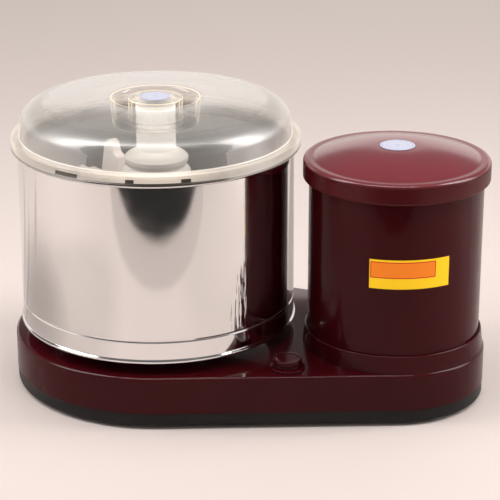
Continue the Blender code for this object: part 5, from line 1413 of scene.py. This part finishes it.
class Dresser:
    """Gives each piece its finish and its body, and hides the node it stands for."""

    def __init__(self) -> None:
        """Starts the count of pieces."""
        self.count = 0

    def put(self, obj: bpy.types.Object, body: Body, slot: Slot, node: str,
            finish: Finish | None = None) -> None:
        """Dresses one new piece.

        Args:
            obj: The piece.
            body: The body it rides on.
            slot: The slot its finish comes from.
            node: The node it stands for.
            finish: A finish of its own, when the slot's isn't used.
        """
        obj.data.materials.clear()
        obj.data.materials.append((finish or FINISHES[slot]).material())
        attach(obj, body.value)
        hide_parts(node)
        self.count += 1
        LOG.info("%s rides on %s in %s, %d faces", obj.name, body.value, slot.value, len(obj.data.polygons))

    def turn(self, body: Body, place: Matrix, *parts: Turning, mark: Any = "") -> None:
        """Makes and dresses turned pieces that share a body and an axis."""
        for part in parts:
            self.put(part.make(place, mark), body, part.slot, part.node.format(mark), part.finish)

    def dress_nodes(self) -> None:
        """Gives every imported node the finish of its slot."""
        tower_nodes = ("motor_", "upper_motor", "lower_motor")
        for name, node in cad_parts.items():
            for held in node.material_slots:
                slot = Slot(held.material.name.split(".")[0])
                own = slot is Slot.MACHINED_STEEL and name.startswith(tower_nodes)
                held.material = (TOWER_STEEL if own else FINISHES[slot]).material()
            LOG.info("node %s dressed", name)


# Sub-assemblies


@dataclass(frozen=True)
class Footprint:
    """The base's outline: an arc round the drum and one round the tower, joined by their tangents."""

    drum_radius: float = 132.4
    tower_radius: float = 83.2
    drum_steps: int = 120
    tower_steps: int = 76

    @property
    def taper(self) -> float:
        """Returns the angle of the long sides, in degrees."""
        return math.degrees(math.asin((self.drum_radius - self.tower_radius) / (TOWER_X - DRUM_X)))

    def loop(self, inset: float) -> list[Point]:
        """Draws the outline.

        Args:
            inset: How far it is drawn in.

        Returns:
            Its points.
        """
        opening = 90 - self.taper
        tower = arc((TOWER_X, 0), (self.tower_radius - inset,) * 2, -opening, opening, self.tower_steps)
        drum = (self.drum_radius - inset,) * 2
        return tower + arc((DRUM_X, 0), drum, opening, 360 - opening, self.drum_steps)

    def rear_edge(self, x: float) -> float:
        """Returns how far the outline reaches behind the middle line."""
        taper = self.taper * DEGREE
        return (self.drum_radius - (x - DRUM_X) * math.sin(taper)) / math.cos(taper)

    def solid(self, name: str, levels: Sequence[Point]) -> bpy.types.Object:
        """Returns a lofted solid from pairs of inset and height."""
        rows = supported(levels)[:-2]
        return lofted(name, [self.loop(inset) for inset, height in rows], [height for inset, height in rows])


@dataclass(frozen=True)
class BottomTray:
    """Black tray that closes the base from below, with its feet."""

    outline: Footprint = Footprint()
    bottom: float = 3.0
    floor: float = 5.5
    top: float = 14.8
    inset: float = 0.4
    wall: float = 2.4
    edge: float = 2.2
    edge_steps: int = 6
    vents: int = 5
    vent_length: float = 46.0
    vent_width: float = 3.4
    vent_pitch: float = 9.0
    vent_steps: int = 8
    foot: Turning = Turning("foot_{}", "rubber_foot_{}", Slot.RUBBER, (
        (0, 7.5), (3.4, 7.5, 0.4), (4.8, 5.8), (3.4, 5.8), (3.4, 2.7), (11.0, 2.7, 0.4), (11.0, 0.0, 1.0),
        (7.5, 0.0, 0.3), (6.5, 0.6, 0.3), (0, 0.6)), Steps.SMALL)
    feet: tuple[Point, ...] = ((-145.4, 86.83), (-145.4, -86.83), (167.07, 47.51), (167.07, -47.51))

    def make_tray(self) -> bpy.types.Object:
        """Makes the tray and cuts its round-ended vents.

        Returns:
            The tray.
        """
        inner = self.inset + self.wall
        flat = self.inset + self.edge
        rim = arc((flat, self.bottom + self.edge), (self.edge, self.edge), 180, 270, self.edge_steps)
        levels = [(inner, self.floor), (inner, self.top), (self.inset, self.top), *rim]
        tray = self.outline.solid("tray", [*levels, (flat + FLAT_START, self.bottom)])
        side = self.vent_width / 2
        reach = self.vent_length / 2 - side
        for index in range(self.vents):
            y = (index - (self.vents - 1) / 2) * self.vent_pitch
            vent = arc((TOWER_X + reach, y), (side, side), -90, 90, self.vent_steps)
            vent += arc((TOWER_X - reach, y), (side, side), 90, 270, self.vent_steps)
            heights = (self.bottom - CUT_OVERRUN, self.floor + CUT_OVERRUN)
            combined(tray, Join.CUT, lofted("vent", [vent] * 2, heights))
        return tray

    def build(self, dresser: Dresser) -> None:
        """Makes and dresses the tray and the feet.

        Args:
            dresser: What dresses them.
        """
        dresser.put(self.make_tray(), Body.BASE, Slot.BLACK_PLASTIC, "bottom_tray")
        for number, spot in enumerate(self.feet, 1):
            dresser.turn(Body.BASE, upright(*spot), self.foot, mark=number)


@dataclass(frozen=True)
class BaseShell:
    """Maroon base with its deck, the collar round the tower, and the gland in its rear wall."""

    outline: Footprint = Footprint()
    bottom: float = 15.1
    deck: float = 48.9
    deck_under: float = 46.4
    wall: float = 2.4
    wall_corner: float = 1.0
    edge: float = 3.0
    edge_steps: int = 8
    collar: Rows = ((78.0, 65.0, 0.3), (79.9, 65.0, 1.6), (81.9, 47.5), (78.0, 47.5))
    column: Tool = Tool(Join.ADD, 4.6, 5.8, 47.4)
    columns: tuple[Point, ...] = ((-146.7, 107.56), (-146.7, -107.56), (182.01, 57.45), (182.01, -57.45))
    holes: tuple[Triple, ...] = ((TOWER_X, 0.0, 47.0), (DRUM_X, 0.0, 30.4), (51.2, -82.1, 5.0))
    gland_x: float = 95.0
    gland_z: float = 30.1
    gland_bore: Tool = Tool(Join.CUT, 7.4, -6.0, CUT_OVERRUN)
    gland: Turning = Turning("gland", "cord_gland", Slot.RUBBER, (
        (7.0, 5.0, 0.5), (9.5, 2.7, 0.3), (9.5, 0.3), (7.0, 0.3), (7.0, -4.4), (4.3, -4.4),
        (4.3, 5.0, 0.6)), Steps.SMALL)

    def gland_place(self) -> Matrix:
        """Returns the gland's place, heading out of the rear wall."""
        rear = self.outline.rear_edge(self.gland_x)
        return lying(self.gland_x, rear, self.gland_z, 90 - self.outline.taper)

    def make_shell(self) -> bpy.types.Object:
        """Makes the shell with its collar, columns and holes.

        Returns:
            The shell.
        """
        centre = (self.edge, self.deck - self.edge)
        rim = arc(centre, (self.edge, self.edge), 180, 90, self.edge_steps)
        levels = [(self.wall + self.wall_corner, self.deck_under),
                  (self.wall, self.deck_under - self.wall_corner), (self.wall, self.bottom),
                  (0.0, self.bottom), *rim, (self.edge + FLAT_START, self.deck)]
        shell = self.outline.solid("base_shell", levels)
        combined(shell, Join.ADD, turned("collar", rounded(*self.collar), TOWER_AXIS))
        for spot in self.columns:
            self.column.work(shell, upright(*spot))
        for x, y, radius in self.holes:
            hole = Tool(Join.CUT, radius, self.deck_under - CUT_OVERRUN, self.deck + CUT_OVERRUN)
            hole.work(shell, upright(x, y))
        self.gland_bore.work(shell, self.gland_place())
        return shell

    def build(self, dresser: Dresser) -> None:
        """Makes and dresses the shell and the gland."""
        dresser.put(self.make_shell(), Body.BASE, Slot.MAROON, "base_body")
        dresser.turn(Body.BASE, self.gland_place(), self.gland)


@dataclass(frozen=True)
class MotorTower:
    """Motor can, domed cap, round sticker and side label."""

    can: Turning = Turning("tower_can", "motor_can", Slot.MAROON, (
        (76.0, 216.0), (77.6, 216.0, 0.5), (77.6, 49.2, 0.4), (76.0, 49.2)))
    cap_radius: float = 83.0
    cap_edge: float = 3.6
    cap_rim: float = 222.65
    cap_steps: int = 9
    cap_crease: float = 71.9
    crease: tuple[Point, ...] = ((72.6, 222.95), (73.5, 222.65), (74.8, 222.55), (76.6, 222.62))
    skirt: tuple[Point, ...] = ((83.0, 206.2), (82.75, 205.2), (82.2, 204.7))
    inside: tuple[Point, ...] = ((81.0, 204.7), (81.0, 215.3), (80.0, 216.3), (72.0, 216.3), (69.9, 221.3))
    inside_radii: Point = (53.3, 34.7)
    dome_top: float = 232.8
    dome_rise: float = 9.5
    dome_steps: int = 26
    dome_sheet: float = 2.0
    pad: float = 16.1
    sticker: Turning = Turning("tower_sticker", "cap_sticker", Slot.STICKER, bar(15.5, 233.1, 233.5, 0.15),
                               Steps.SMALL, finish=CAP_STICKER)
    label_radii: Point = (77.9, 78.4)
    label_angles: Point = (-99.3, -46.7)
    label_heights: Point = (127.6, 154.0)
    label_steps: int = 60

    def dome_point(self, radius: float, drop: float = 0.0) -> Point:
        """Returns the dome's point at a radius, lowered by a drop."""
        share = max(0.0, (radius - self.pad) / (self.cap_crease - self.pad))
        return radius, self.dome_top - self.dome_rise * share ** 2 - drop

    def make_cap(self) -> bpy.types.Object:
        """Makes the domed cap.

        Returns:
            The cap.
        """
        shares = [step / self.dome_steps for step in range(self.dome_steps + 1)]
        dome = [self.dome_point(self.pad + (self.cap_crease - self.pad) * share) for share in shares]
        centre = (self.cap_radius - self.cap_edge, self.cap_rim - self.cap_edge)
        rim = arc(centre, (self.cap_edge, self.cap_edge), 90, 0, self.cap_steps)
        under = [self.dome_point(radius, self.dome_sheet) for radius in (*self.inside_radii, 0)]
        profile = [(0, self.dome_top), *dome, *self.crease, *rim, *self.skirt, *self.inside, *under]
        return turned("tower_cap", profile, TOWER_AXIS)

    def make_label(self) -> bpy.types.Object:
        """Makes the curved side label.

        Returns:
            The label.
        """
        near, far = self.label_radii
        start, end = self.label_angles
        outline = arc((0, 0), (far, far), start, end, self.label_steps)
        outline += arc((0, 0), (near, near), end, start, self.label_steps)
        return lofted("tower_label", [outline] * 2, self.label_heights, TOWER_AXIS)

    def build(self, dresser: Dresser) -> None:
        """Makes and dresses the tower's pieces.

        Args:
            dresser: What dresses them.
        """
        dresser.turn(Body.BASE, TOWER_AXIS, self.can)
        dresser.put(self.make_cap(), Body.BASE, Slot.MAROON, "motor_cap", CAP_LACQUER)
        dresser.turn(Body.BASE, TOWER_AXIS, self.sticker)
        dresser.put(self.make_label(), Body.BASE, Slot.LABEL, "side_label")


@dataclass(frozen=True)
class SteelDrum:
    """Steel drum with its pan, coupling plate, base stone, centre tube and clamp nut."""

    bead_centre: Point = (127.2, 223.4)
    bead_size: float = 1.7
    bead_angles: Point = (150.0, -115.0)
    bead_steps: int = 16
    wall: Rows = ((125.0, 221.0, 0.6), (125.0, 81.8, 0.8), (124.35, 80.3, 0.35), (125.0, 79.0, 0.5),
                  (125.0, 63.6, 1.2), (126.5, 62.2, 0.7), (126.5, 60.2, 0.9), (123.8, 60.2, 0.2),
                  (123.8, 222.2, 0.9))
    pan: Turning = Turning("drum_bottom", "drum_pan", Slot.POLISHED_STEEL, (
        (122.3, 94.0), (123.5, 94.0), (123.5, 82.0, 2.2), (12.4, 82.0), (12.4, 83.2), (122.3, 83.2, 1.2)))
    coupling: Turning = Turning("drum_plate", "drum_coupling", Slot.CAST_ALUMINIUM, (
        (12.4, 81.7), (42.0, 81.7, 0.6), (42.0, 74.9, 1.0), (12.4, 74.9, 0.6)), Steps.SMALL,
        (Tool(Join.CUT, 5.8, 72.0, 84.0, steps=Steps.PIN, reach=25.0, count=3),))
    stone: Turning = Turning("drum_stone", "base_stone", Slot.GRANITE, (
        (17.6, 108.0), (118.0, 108.0, 2.6), (118.0, 83.5, 1.0), (17.6, 83.5)))
    tube: Turning = Turning("drum_tube", "centre_tube", Slot.POLISHED_STEEL, (
        (12.4, 176.0, 0.5), (14.0, 176.0, 0.7), (14.0, 85.0, 0.8), (17.2, 85.0, 0.4), (17.2, 83.5),
        (12.4, 83.5)), Steps.RING)
    nut: Turning = Turning("drum_nut", "stone_clamp_nut", Slot.WHITE_NYLON, (
        (14.3, 112.3, 0.3), (24.0, 112.3, 1.2), (24.0, 108.3, 0.5), (14.3, 108.3)), Steps.RING,
        (Tool(Join.CUT, 2.2, 110.6, 113.5, steps=Steps.NOTCH, reach=24.2, count=6),))

    def make_wall(self) -> bpy.types.Object:
        """Returns the rolled wall with its rim bead, groove and foot bead."""
        bead = arc(self.bead_centre, (self.bead_size,) * 2, *self.bead_angles, self.bead_steps)
        return turned("drum_shell", bead + rounded(*self.wall), DRUM_AXIS, Steps.WALL)

    def build(self, dresser: Dresser) -> None:
        """Makes and dresses the drum's pieces."""
        dresser.put(self.make_wall(), Body.DRUM, Slot.POLISHED_STEEL, "drum_wall")
        dresser.turn(Body.DRUM, DRUM_AXIS, self.pan, self.coupling, self.stone, self.tube, self.nut)


@dataclass(frozen=True)
class DomeLid:
    """Clear domed lid with its sunken knob, and the sticker on the knob."""

    crown_z: float = 265.7
    crown_start: float = 40.8
    crown_gap: float = 0.4
    crown_end: float = 101.4
    crown_curve: float = 0.000828
    steps: int = 14
    shoulder: Point = (97.6, 244.0)
    shoulder_radii: Point = (24.0, 18.6)
    shoulder_start: float = 80.0
    sheet: float = 2.4
    knob: Rows = ((0, 265.7), (24.4, 265.7, 1.3), (24.4, 244.4, 1.2), (36.2, 244.4, 1.8), (38.2, 265.7, 2.6),
                  (42.8, 265.7))
    lip: Rows = ((121.65, 243.0), (122.6, 232.4, 1.6), (131.0, 232.4, 1.0), (130.6, 223.9, 0.5),
                 (129.3, 223.9), (129.3, 225.4, 0.5), (123.2, 225.4, 0.4), (123.2, 215.4, 0.9),
                 (121.2, 215.4, 0.9), (120.3, 232.4, 1.0), (119.25, 243.0))
    knob_under: Rows = ((44.0, 263.2), (41.0, 263.3, 1.5), (38.6, 242.0, 1.6), (22.0, 242.0, 0.6),
                        (22.0, 263.3, 0.6), (0, 263.3))
    sticker: Turning = Turning("dome_sticker", "lid_sticker", Slot.STICKER, bar(13.7, 266.0, 266.4, 0.15),
                               Steps.SMALL)

    def crown(self, drop: float) -> list[Point]:
        """Draws the crown from the knob's well outward.

        Args:
            drop: How far it lies under the lid's top face.

        Returns:
            Its points.
        """
        span = self.crown_end - self.crown_start
        first = self.crown_start + self.crown_gap
        radii = [first + span * step / self.steps for step in range(self.steps)]
        return [(radius, self.crown_z - drop - self.crown_curve * (radius - self.crown_start) ** 2)
                for radius in radii]

    def make_lid(self) -> bpy.types.Object:
        """Makes the lid.

        Returns:
            The lid.
        """
        across, up = self.shoulder_radii
        outer = arc(self.shoulder, (across, up), self.shoulder_start, 0, self.steps)
        inside = (across - self.sheet, up - self.sheet)
        inner = arc(self.shoulder, inside, 0, self.shoulder_start, self.steps)
        top = rounded(*self.knob)[:-1] + self.crown(0.0) + outer
        under = inner + self.crown(self.sheet)[::-1] + rounded(*self.knob_under)[1:]
        return turned("clear_dome", top + rounded(*self.lip) + under, DRUM_AXIS, Steps.WALL)

    def build(self, dresser: Dresser) -> None:
        """Makes and dresses the lid's pieces."""
        dresser.put(self.make_lid(), Body.LID, Slot.CLEAR_LID, "lid")
        dresser.turn(Body.LID, DRUM_AXIS, self.sticker)


@dataclass(frozen=True)
class Axles:
    """The level axles of the two rollers: their height and their headings."""

    z: float = 141.3
    headings: tuple[tuple[str, float, Body], ...] = (
        ("right", 15.0, Body.RIGHT_ROLLER), ("left", 195.0, Body.LEFT_ROLLER))

    def places(self) -> list[tuple[str, Matrix, Body]]:
        """Returns each side with its axle's place and its roller's body."""
        return [(side, lying(DRUM_X, 0, self.z, heading), body) for side, heading, body in self.headings]


@dataclass(frozen=True)
class RollerHolder:
    """White nylon holder on the centre rod: body, grip, wiper and the two axle bolts."""

    axles: Axles = Axles()
    core: Turning = Turning("holder_core", "holder_body", Slot.WHITE_NYLON, (
        (6.3, 202.0, 0.4), (13.0, 202.0, 0.6), (13.0, 188.0, 0.5), (24.0, 188.0, 0.8), (24.0, 159.7, 1.2),
        (27.0, 159.7, 1.0), (27.0, 113.0, 2.0), (14.6, 113.0, 0.6), (14.6, 180.0), (6.3, 180.0)), Steps.RING)
    boss: Tool = Tool(Join.ADD, 10.0, 20.0, 34.2, 1.0)
    axle_hole: Tool = Tool(Join.CUT, 5.3, 16.2, 37.0, steps=Steps.BOLT)
    grip: Turning = Turning("holder_handle", "holder_grip", Slot.WHITE_NYLON, (
        (0, 259.8), (17.8, 259.8, 2.0), (17.8, 218.3, 2.0), (27.1, 212.6, 0.8), (28.9, 210.8, 0.9),
        (28.9, 207.2, 0.9), (26.5, 203.0, 1.2), (31.5, 197.0, 1.6), (24.0, 188.3, 0.8), (13.3, 188.3),
        (13.3, 204.0), (6.6, 204.0), (6.6, 238.0), (0, 238.0)), Steps.RING)
    wiper_heading: float = 138.0
    wiper_ring: Rows = ((24.3, 172.0, 0.4), (29.3, 172.0, 1.2), (29.3, 160.0, 1.2), (24.3, 160.0, 0.4))
    arm: tuple[Triple, Triple] = ((28.0, -4.0, 160.6), (112.0, 4.0, 171.4))
    arm_edge: float = 1.2
    tongue: Rows = ((57.0, 164.0), (89.0, 164.0), (84.0, 186.0, 12.0), (80.5, 202.0, 5.0),
                    (74.5, 209.8, 4.0), (68.0, 207.0, 4.0), (65.0, 198.5, 2.5), (58.5, 195.5, 4.0))
    tongue_half: float = 5.0
    tongue_edge: float = 1.6
    blade: tuple[Triple, Triple] = ((85.5, 3.0, 110.0), (121.5, 7.5, 172.0))
    blade_edge: float = 0.8
    axle: Turning = Turning("{}_axle", "{}_axle_bolt", Slot.POLISHED_STEEL, (
        (0, 108.7), (9.0, 108.7, 1.6), (9.0, 103.5, 0.6), (5.0, 103.5), (5.0, 16.5, 0.8), (0, 16.5)),
        Steps.BOLT, (Tool(Join.CUT, 3.2, 105.8, 110.0, steps=Steps.HEXAGON),))

    def make_body(self) -> bpy.types.Object:
        """Makes the holder's body with its bosses and axle holes.

        Returns:
            The body.
        """
        body = self.core.make(DRUM_AXIS)
        for _, place, _ in self.axles.places():
            self.boss.work(body, place)
            self.axle_hole.work(body, place)
        return body

    def make_wiper(self) -> bpy.types.Object:
        """Makes the wiper: a ring, an arm, an upright tongue and a blade.

        Returns:
            The wiper.
        """
        place = upright(DRUM_X, 0, self.wiper_heading)
        ring = turned("holder_wiper", rounded(*self.wiper_ring), place, Steps.RING)
        arm = block("wiper_arm", *self.arm, place, self.arm_edge)
        tongue = lofted("wiper_tongue", [rounded(*self.tongue)] * 2, (-self.tongue_half, self.tongue_half),
                        place @ Matrix.Rotation(math.pi / 2, 4, "X"), self.tongue_edge)
        blade = block("wiper_blade", *self.blade, place, self.blade_edge)
        return combined(ring, Join.ADD, arm, tongue, blade)

    def build(self, dresser: Dresser) -> None:
        """Makes and dresses the holder's pieces.

        Args:
            dresser: What dresses them.
        """
        dresser.put(self.make_body(), Body.HOLDER, Slot.WHITE_NYLON, "holder_body")
        dresser.turn(Body.HOLDER, DRUM_AXIS, self.grip)
        dresser.put(self.make_wiper(), Body.HOLDER, Slot.WHITE_NYLON, "wiper", WIPER_NYLON)
        for side, place, _ in self.axles.places():
            dresser.turn(Body.HOLDER, place, self.axle, mark=side)


@dataclass(frozen=True)
class StoneRollers:
    """The two granite rollers with their nylon bushes."""

    axles: Axles = Axles()
    stone: Turning = Turning("{}_roller", "{}_roller_stone", Slot.GRANITE, (
        (8.3, 102.0, 0.6), (33.0, 102.0, 3.2), (33.0, 36.0, 3.2), (8.3, 36.0, 0.6)), Steps.ROLLER,
        finish=ROLLER_GRANITE)
    bush: Turning = Turning("{}_bush", "{}_roller_bush", Slot.WHITE_NYLON, (
        (5.3, 103.2, 0.3), (8.0, 103.2, 0.4), (8.0, 35.7), (12.0, 35.7, 0.3), (12.0, 34.5, 0.3),
        (5.3, 34.5, 0.3)), Steps.BOLT)

    def build(self, dresser: Dresser) -> None:
        """Makes and dresses both rollers."""
        for side, place, body in self.axles.places():
            dresser.turn(body, place, self.stone, self.bush, mark=side)


@dataclass(frozen=True)
class DriveEnd:
    """What shows under a lifted drum: bearing housing, coupling with its pins, and the fixed rod."""

    housing: Turning = Turning("housing", "bearing_housing", Slot.CAST_ALUMINIUM, (
        (23.5, 66.0, 0.4), (30.0, 66.0, 1.0), (30.0, 53.2, 2.0), (46.0, 53.2, 1.2), (46.0, 49.2, 0.4),
        (30.0, 49.2), (30.0, 31.0, 0.6), (23.5, 31.0), (23.5, 45.0), (19.0, 45.0), (19.0, 52.0),
        (23.5, 52.0)), Steps.RING)
    coupling: Turning = Turning("coupling", "drive_coupling", Slot.CAST_ALUMINIUM, (
        (6.8, 74.6, 0.4), (34.0, 74.6, 1.2), (34.0, 68.0, 1.0), (16.0, 68.0, 0.6), (16.0, 66.3),
        (10.3, 66.3), (10.3, 73.6), (6.8, 73.6)), Steps.RING,
        (Tool(Join.ADD, 5.0, 73.6, 80.0, 1.0, Steps.PIN, 25.0, 3),))
    rod: Turning = Turning("rod", "centre_rod", Slot.POLISHED_STEEL, (
        (0, 236.0), (6.0, 236.0, 1.2), (6.0, 8.3, 0.6), (17.0, 8.3, 0.4), (17.0, 5.8), (4.0, 5.8),
        (4.0, 0.7), (0, 0.7)), Steps.SMALL)
    flats: tuple[tuple[Triple, Triple], ...] = (
        ((-8.0, -8.0, 177.0), (8.0, -4.5, 238.0)), ((-8.0, 4.5, 177.0), (8.0, 8.0, 238.0)))

    def make_rod(self) -> bpy.types.Object:
        """Returns the fixed rod with the two flats at its top."""
        cuts = [block("rod_flat", *flat, DRUM_AXIS) for flat in self.flats]
        return combined(self.rod.make(DRUM_AXIS), Join.CUT, *cuts)

    def build(self, dresser: Dresser) -> None:
        """Makes and dresses the drive's visible pieces.

        Args:
            dresser: What dresses them.
        """
        dresser.turn(Body.BASE, DRUM_AXIS, self.housing)
        dresser.turn(Body.DRIVE, DRUM_AXIS, self.coupling)
        dresser.put(self.make_rod(), Body.BASE, self.rod.slot, self.rod.node)


@dataclass(frozen=True)
class RotarySwitch:
    """The switch knob with its shallow dished top, and its bezel on the deck."""

    place: Point = (51.2, -82.1)
    bezel: Turning = Turning("switch_ring", "switch_bezel", Slot.MAROON, (
        (4.9, 52.7, 0.3), (11.4, 52.7, 0.7), (11.4, 51.4, 0.6), (15.6, 50.3, 0.6), (15.6, 49.2),
        (4.9, 49.2)), Steps.RING)
    knob: Turning = Turning("switch_grip", "switch_knob", Slot.MAROON, (
        (0, 57.75), (9.6, 57.75, 0.8), (10.4, 58.1, 0.6), (12.8, 58.1, 1.4), (12.8, 53.0, 1.2), (2.5, 53.0),
        (2.5, 34.1), (0, 34.1)), Steps.RING)

    def build(self, dresser: Dresser) -> None:
        """Makes and dresses the switch."""
        dresser.turn(Body.BASE, upright(*self.place), self.bezel)
        dresser.turn(Body.SWITCH, upright(*self.place), self.knob)


# Studio


def aimed(name: str, data: bpy.types.ID, place: Triple, aim: Triple) -> bpy.types.Object:
    """Puts a lamp or camera in the scene, aimed at a point.

    Args:
        name: The object's name.
        data: The lamp or camera.
        place: Where it stands, in metres.
        aim: Where it looks, in metres.

    Returns:
        The object.
    """
    obj = bpy.data.objects.new(name, data)
    obj.location = place
    obj.rotation_euler = (Vector(aim) - Vector(place)).to_track_quat("-Z", "Y").to_euler()
    bpy.context.scene.collection.objects.link(obj)
    return obj


@dataclass(frozen=True)
class Lamp:
    """One soft rectangular lamp, aimed at a point. Its places are in metres."""

    name: str
    place: Triple
    aim: Triple
    size: Point
    power: float
    colour: Triple = (1.0, 0.985, 0.965)
    mirrored: bool = True

    def hang(self) -> None:
        """Puts the lamp in the scene."""
        light = bpy.data.lights.new(self.name, "AREA")
        light.shape = "RECTANGLE"
        light.size, light.size_y = self.size
        light.energy = self.power
        light.color = self.colour
        aimed(self.name, light, self.place, self.aim).visible_glossy = self.mirrored


@dataclass(frozen=True)
class Studio:
    """Floor, lamps, world and camera. The lamps' and the camera's places are in metres."""

    floor_colour: Colour = (0.78, 0.682, 0.648, 1.0)
    floor_reach: float = 4500.0
    floor_levels: Point = (-12.0, 0.0)
    lighting_colour: Colour = (1.0, 0.975, 0.95, 1.0)
    mirrored_colour: Colour = (1.0, 0.94, 0.91, 1.0)
    horizon_colour: Colour = (0.40, 0.343, 0.32, 1.0)
    ceiling_colour: Colour = (0.17, 0.16, 0.155, 1.0)
    ceiling_rise: Point = (0.275, 0.34)
    world_strength: float = 0.44
    camera_place: Triple = (0.3116, -1.5929, 0.7262)
    camera_aim: Triple = (0.0016, 0.0, 0.1256)
    lens: float = 136.68
    sensor: float = 36.0
    clip: Point = (0.05, 30.0)
    card_turn: float = 13.97
    card_reach: float = 1500.0
    card_levels: Point = (0.4, 0.6)
    room_colour: Colour = (0.030, 0.028, 0.027, 1.0)
    patches: tuple[Patch, ...] = (
        Patch((0.0, -900.0), (540.0, 296.0), 1.0, 0.03),
        Patch((0.0, -900.0), (545.0, 453.0), 0.115, 0.025),
        Patch((-330.0, -90.0), (190.0, 340.0), 0.085, 0.25),
        Patch((-325.0, 60.0), (150.0, 170.0), 0.24, 0.85),
        Patch((330.0, 400.0), (90.0, 400.0), 0.27, 0.4, -26.0),
        Patch((420.0, -400.0), (280.0, 340.0), 0.05, 0.3),
        Patch((-300.0, 190.0), (10.0, 200.0), 0.30, 0.6, 57.0),
        Patch((-330.0, 300.0), (12.0, 230.0), 0.24, 0.6, 48.0),
        Patch((-420.0, 150.0), (16.0, 260.0), 0.20, 0.6, 70.0),
    )
    lamps: tuple[Lamp, ...] = (
        Lamp("left_softbox", (-1.05, -0.36, 1.10), (-0.13, -0.10, 0.25), (0.52, 1.35), 11.5),
        Lamp("right_softbox", (1.10, 0.17, 0.84), (0.01, -0.06, 0.25), (0.56, 1.25), 11.5),
        Lamp("overhead_strip", (0.06, -0.42, 1.45), (0.02, 0.0, 0.2), (1.1, 0.10), 4.9),
        Lamp("backdrop_lamp", (0.0, 2.6, 1.9), (-0.2, 1.9, 0.0), (3.2, 1.6), 17.0, mirrored=False),
    )

    def lay(self, name: str, reach: float, levels: Point, finish: Finish) -> bpy.types.Object:
        """Lays a square sheet that isn't part of the object.

        Args:
            name: The sheet's name.
            reach: Half its side.
            levels: The heights of its faces.
            finish: Its finish.

        Returns:
            The sheet.
        """
        sheet = block(name, (-reach, -reach, levels[0]), (reach, reach, levels[1]))
        sheet.data.materials.append(finish.material())
        return sheet

    def lay_floor(self) -> None:
        """Makes the floor and the reflection of the room beyond the table's front edge."""
        paper = StudioPaper("studio_paper", self.floor_colour)
        self.lay("studio_floor", self.floor_reach, self.floor_levels, paper)
        room = DarkRoom("dark_room", self.room_colour, self.patches)
        card = self.lay("room_card", self.card_reach, self.card_levels, room)
        card.location = (DRUM_X * MM, 0, 0)
        card.rotation_euler = (0, 0, self.card_turn * DEGREE)
        for ray in ("camera", "diffuse", "shadow", "transmission"):
            setattr(card, f"visible_{ray}", False)

    def light_world(self) -> None:
        """Makes a plain even world that shows the floor's colour behind the object."""
        world = bpy.data.worlds.new("studio_world")
        bpy.context.scene.world = world
        world.use_nodes = True
        recipe = Recipe(world.node_tree)
        path = recipe.add("ShaderNodeLightPath")
        seen = path["Is Camera Ray"].most(path["Is Glossy Ray"]).most(path["Is Transmission Ray"])
        height = recipe.split(recipe.add("ShaderNodeTexCoord")["Generated"])[2]
        mirrored = recipe.mixed(height.step(*self.ceiling_rise), self.mirrored_colour, self.ceiling_colour)
        far = recipe.mixed(path["Is Camera Ray"], mirrored, self.horizon_colour)
        backdrop = recipe.add("ShaderNodeBackground", None, {"Color": far, "Strength": 1.0})
        inputs = {"Color": self.lighting_colour, "Strength": self.world_strength}
        fill = recipe.add("ShaderNodeBackground", None, inputs)
        mixed = recipe.mixed_shaders(seen, fill["Background"], backdrop["Background"])
        recipe.add("ShaderNodeOutputWorld", None, {"Surface": mixed})

    def set_camera(self) -> None:
        """Makes the camera at the photograph's angle."""
        data = bpy.data.cameras.new("studio_camera")
        data.lens = self.lens
        data.sensor_width = self.sensor
        data.clip_start, data.clip_end = self.clip
        bpy.context.scene.camera = aimed("studio_camera", data, self.camera_place, self.camera_aim)

    def build(self) -> None:
        """Sets up the studio."""
        bpy.context.scene.view_settings.view_transform = "Standard"
        self.lay_floor()
        self.light_world()
        for lamp in self.lamps:
            lamp.hang()
        self.set_camera()


def main() -> None:
    """Builds every sub-assembly and the studio."""
    logging.basicConfig(level=logging.INFO, format="%(name)s: %(message)s")
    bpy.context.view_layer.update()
    dresser = Dresser()
    dresser.dress_nodes()
    assemblies = (BottomTray(), BaseShell(), MotorTower(), SteelDrum(), DomeLid(), RollerHolder(),
                  StoneRollers(), DriveEnd(), RotarySwitch())
    for assembly in assemblies:
        assembly.build(dresser)
        LOG.info("%s built", type(assembly).__name__)
    Studio().build()
    LOG.info("%d pieces made", dresser.count)


if __name__ == "__main__":
    main()
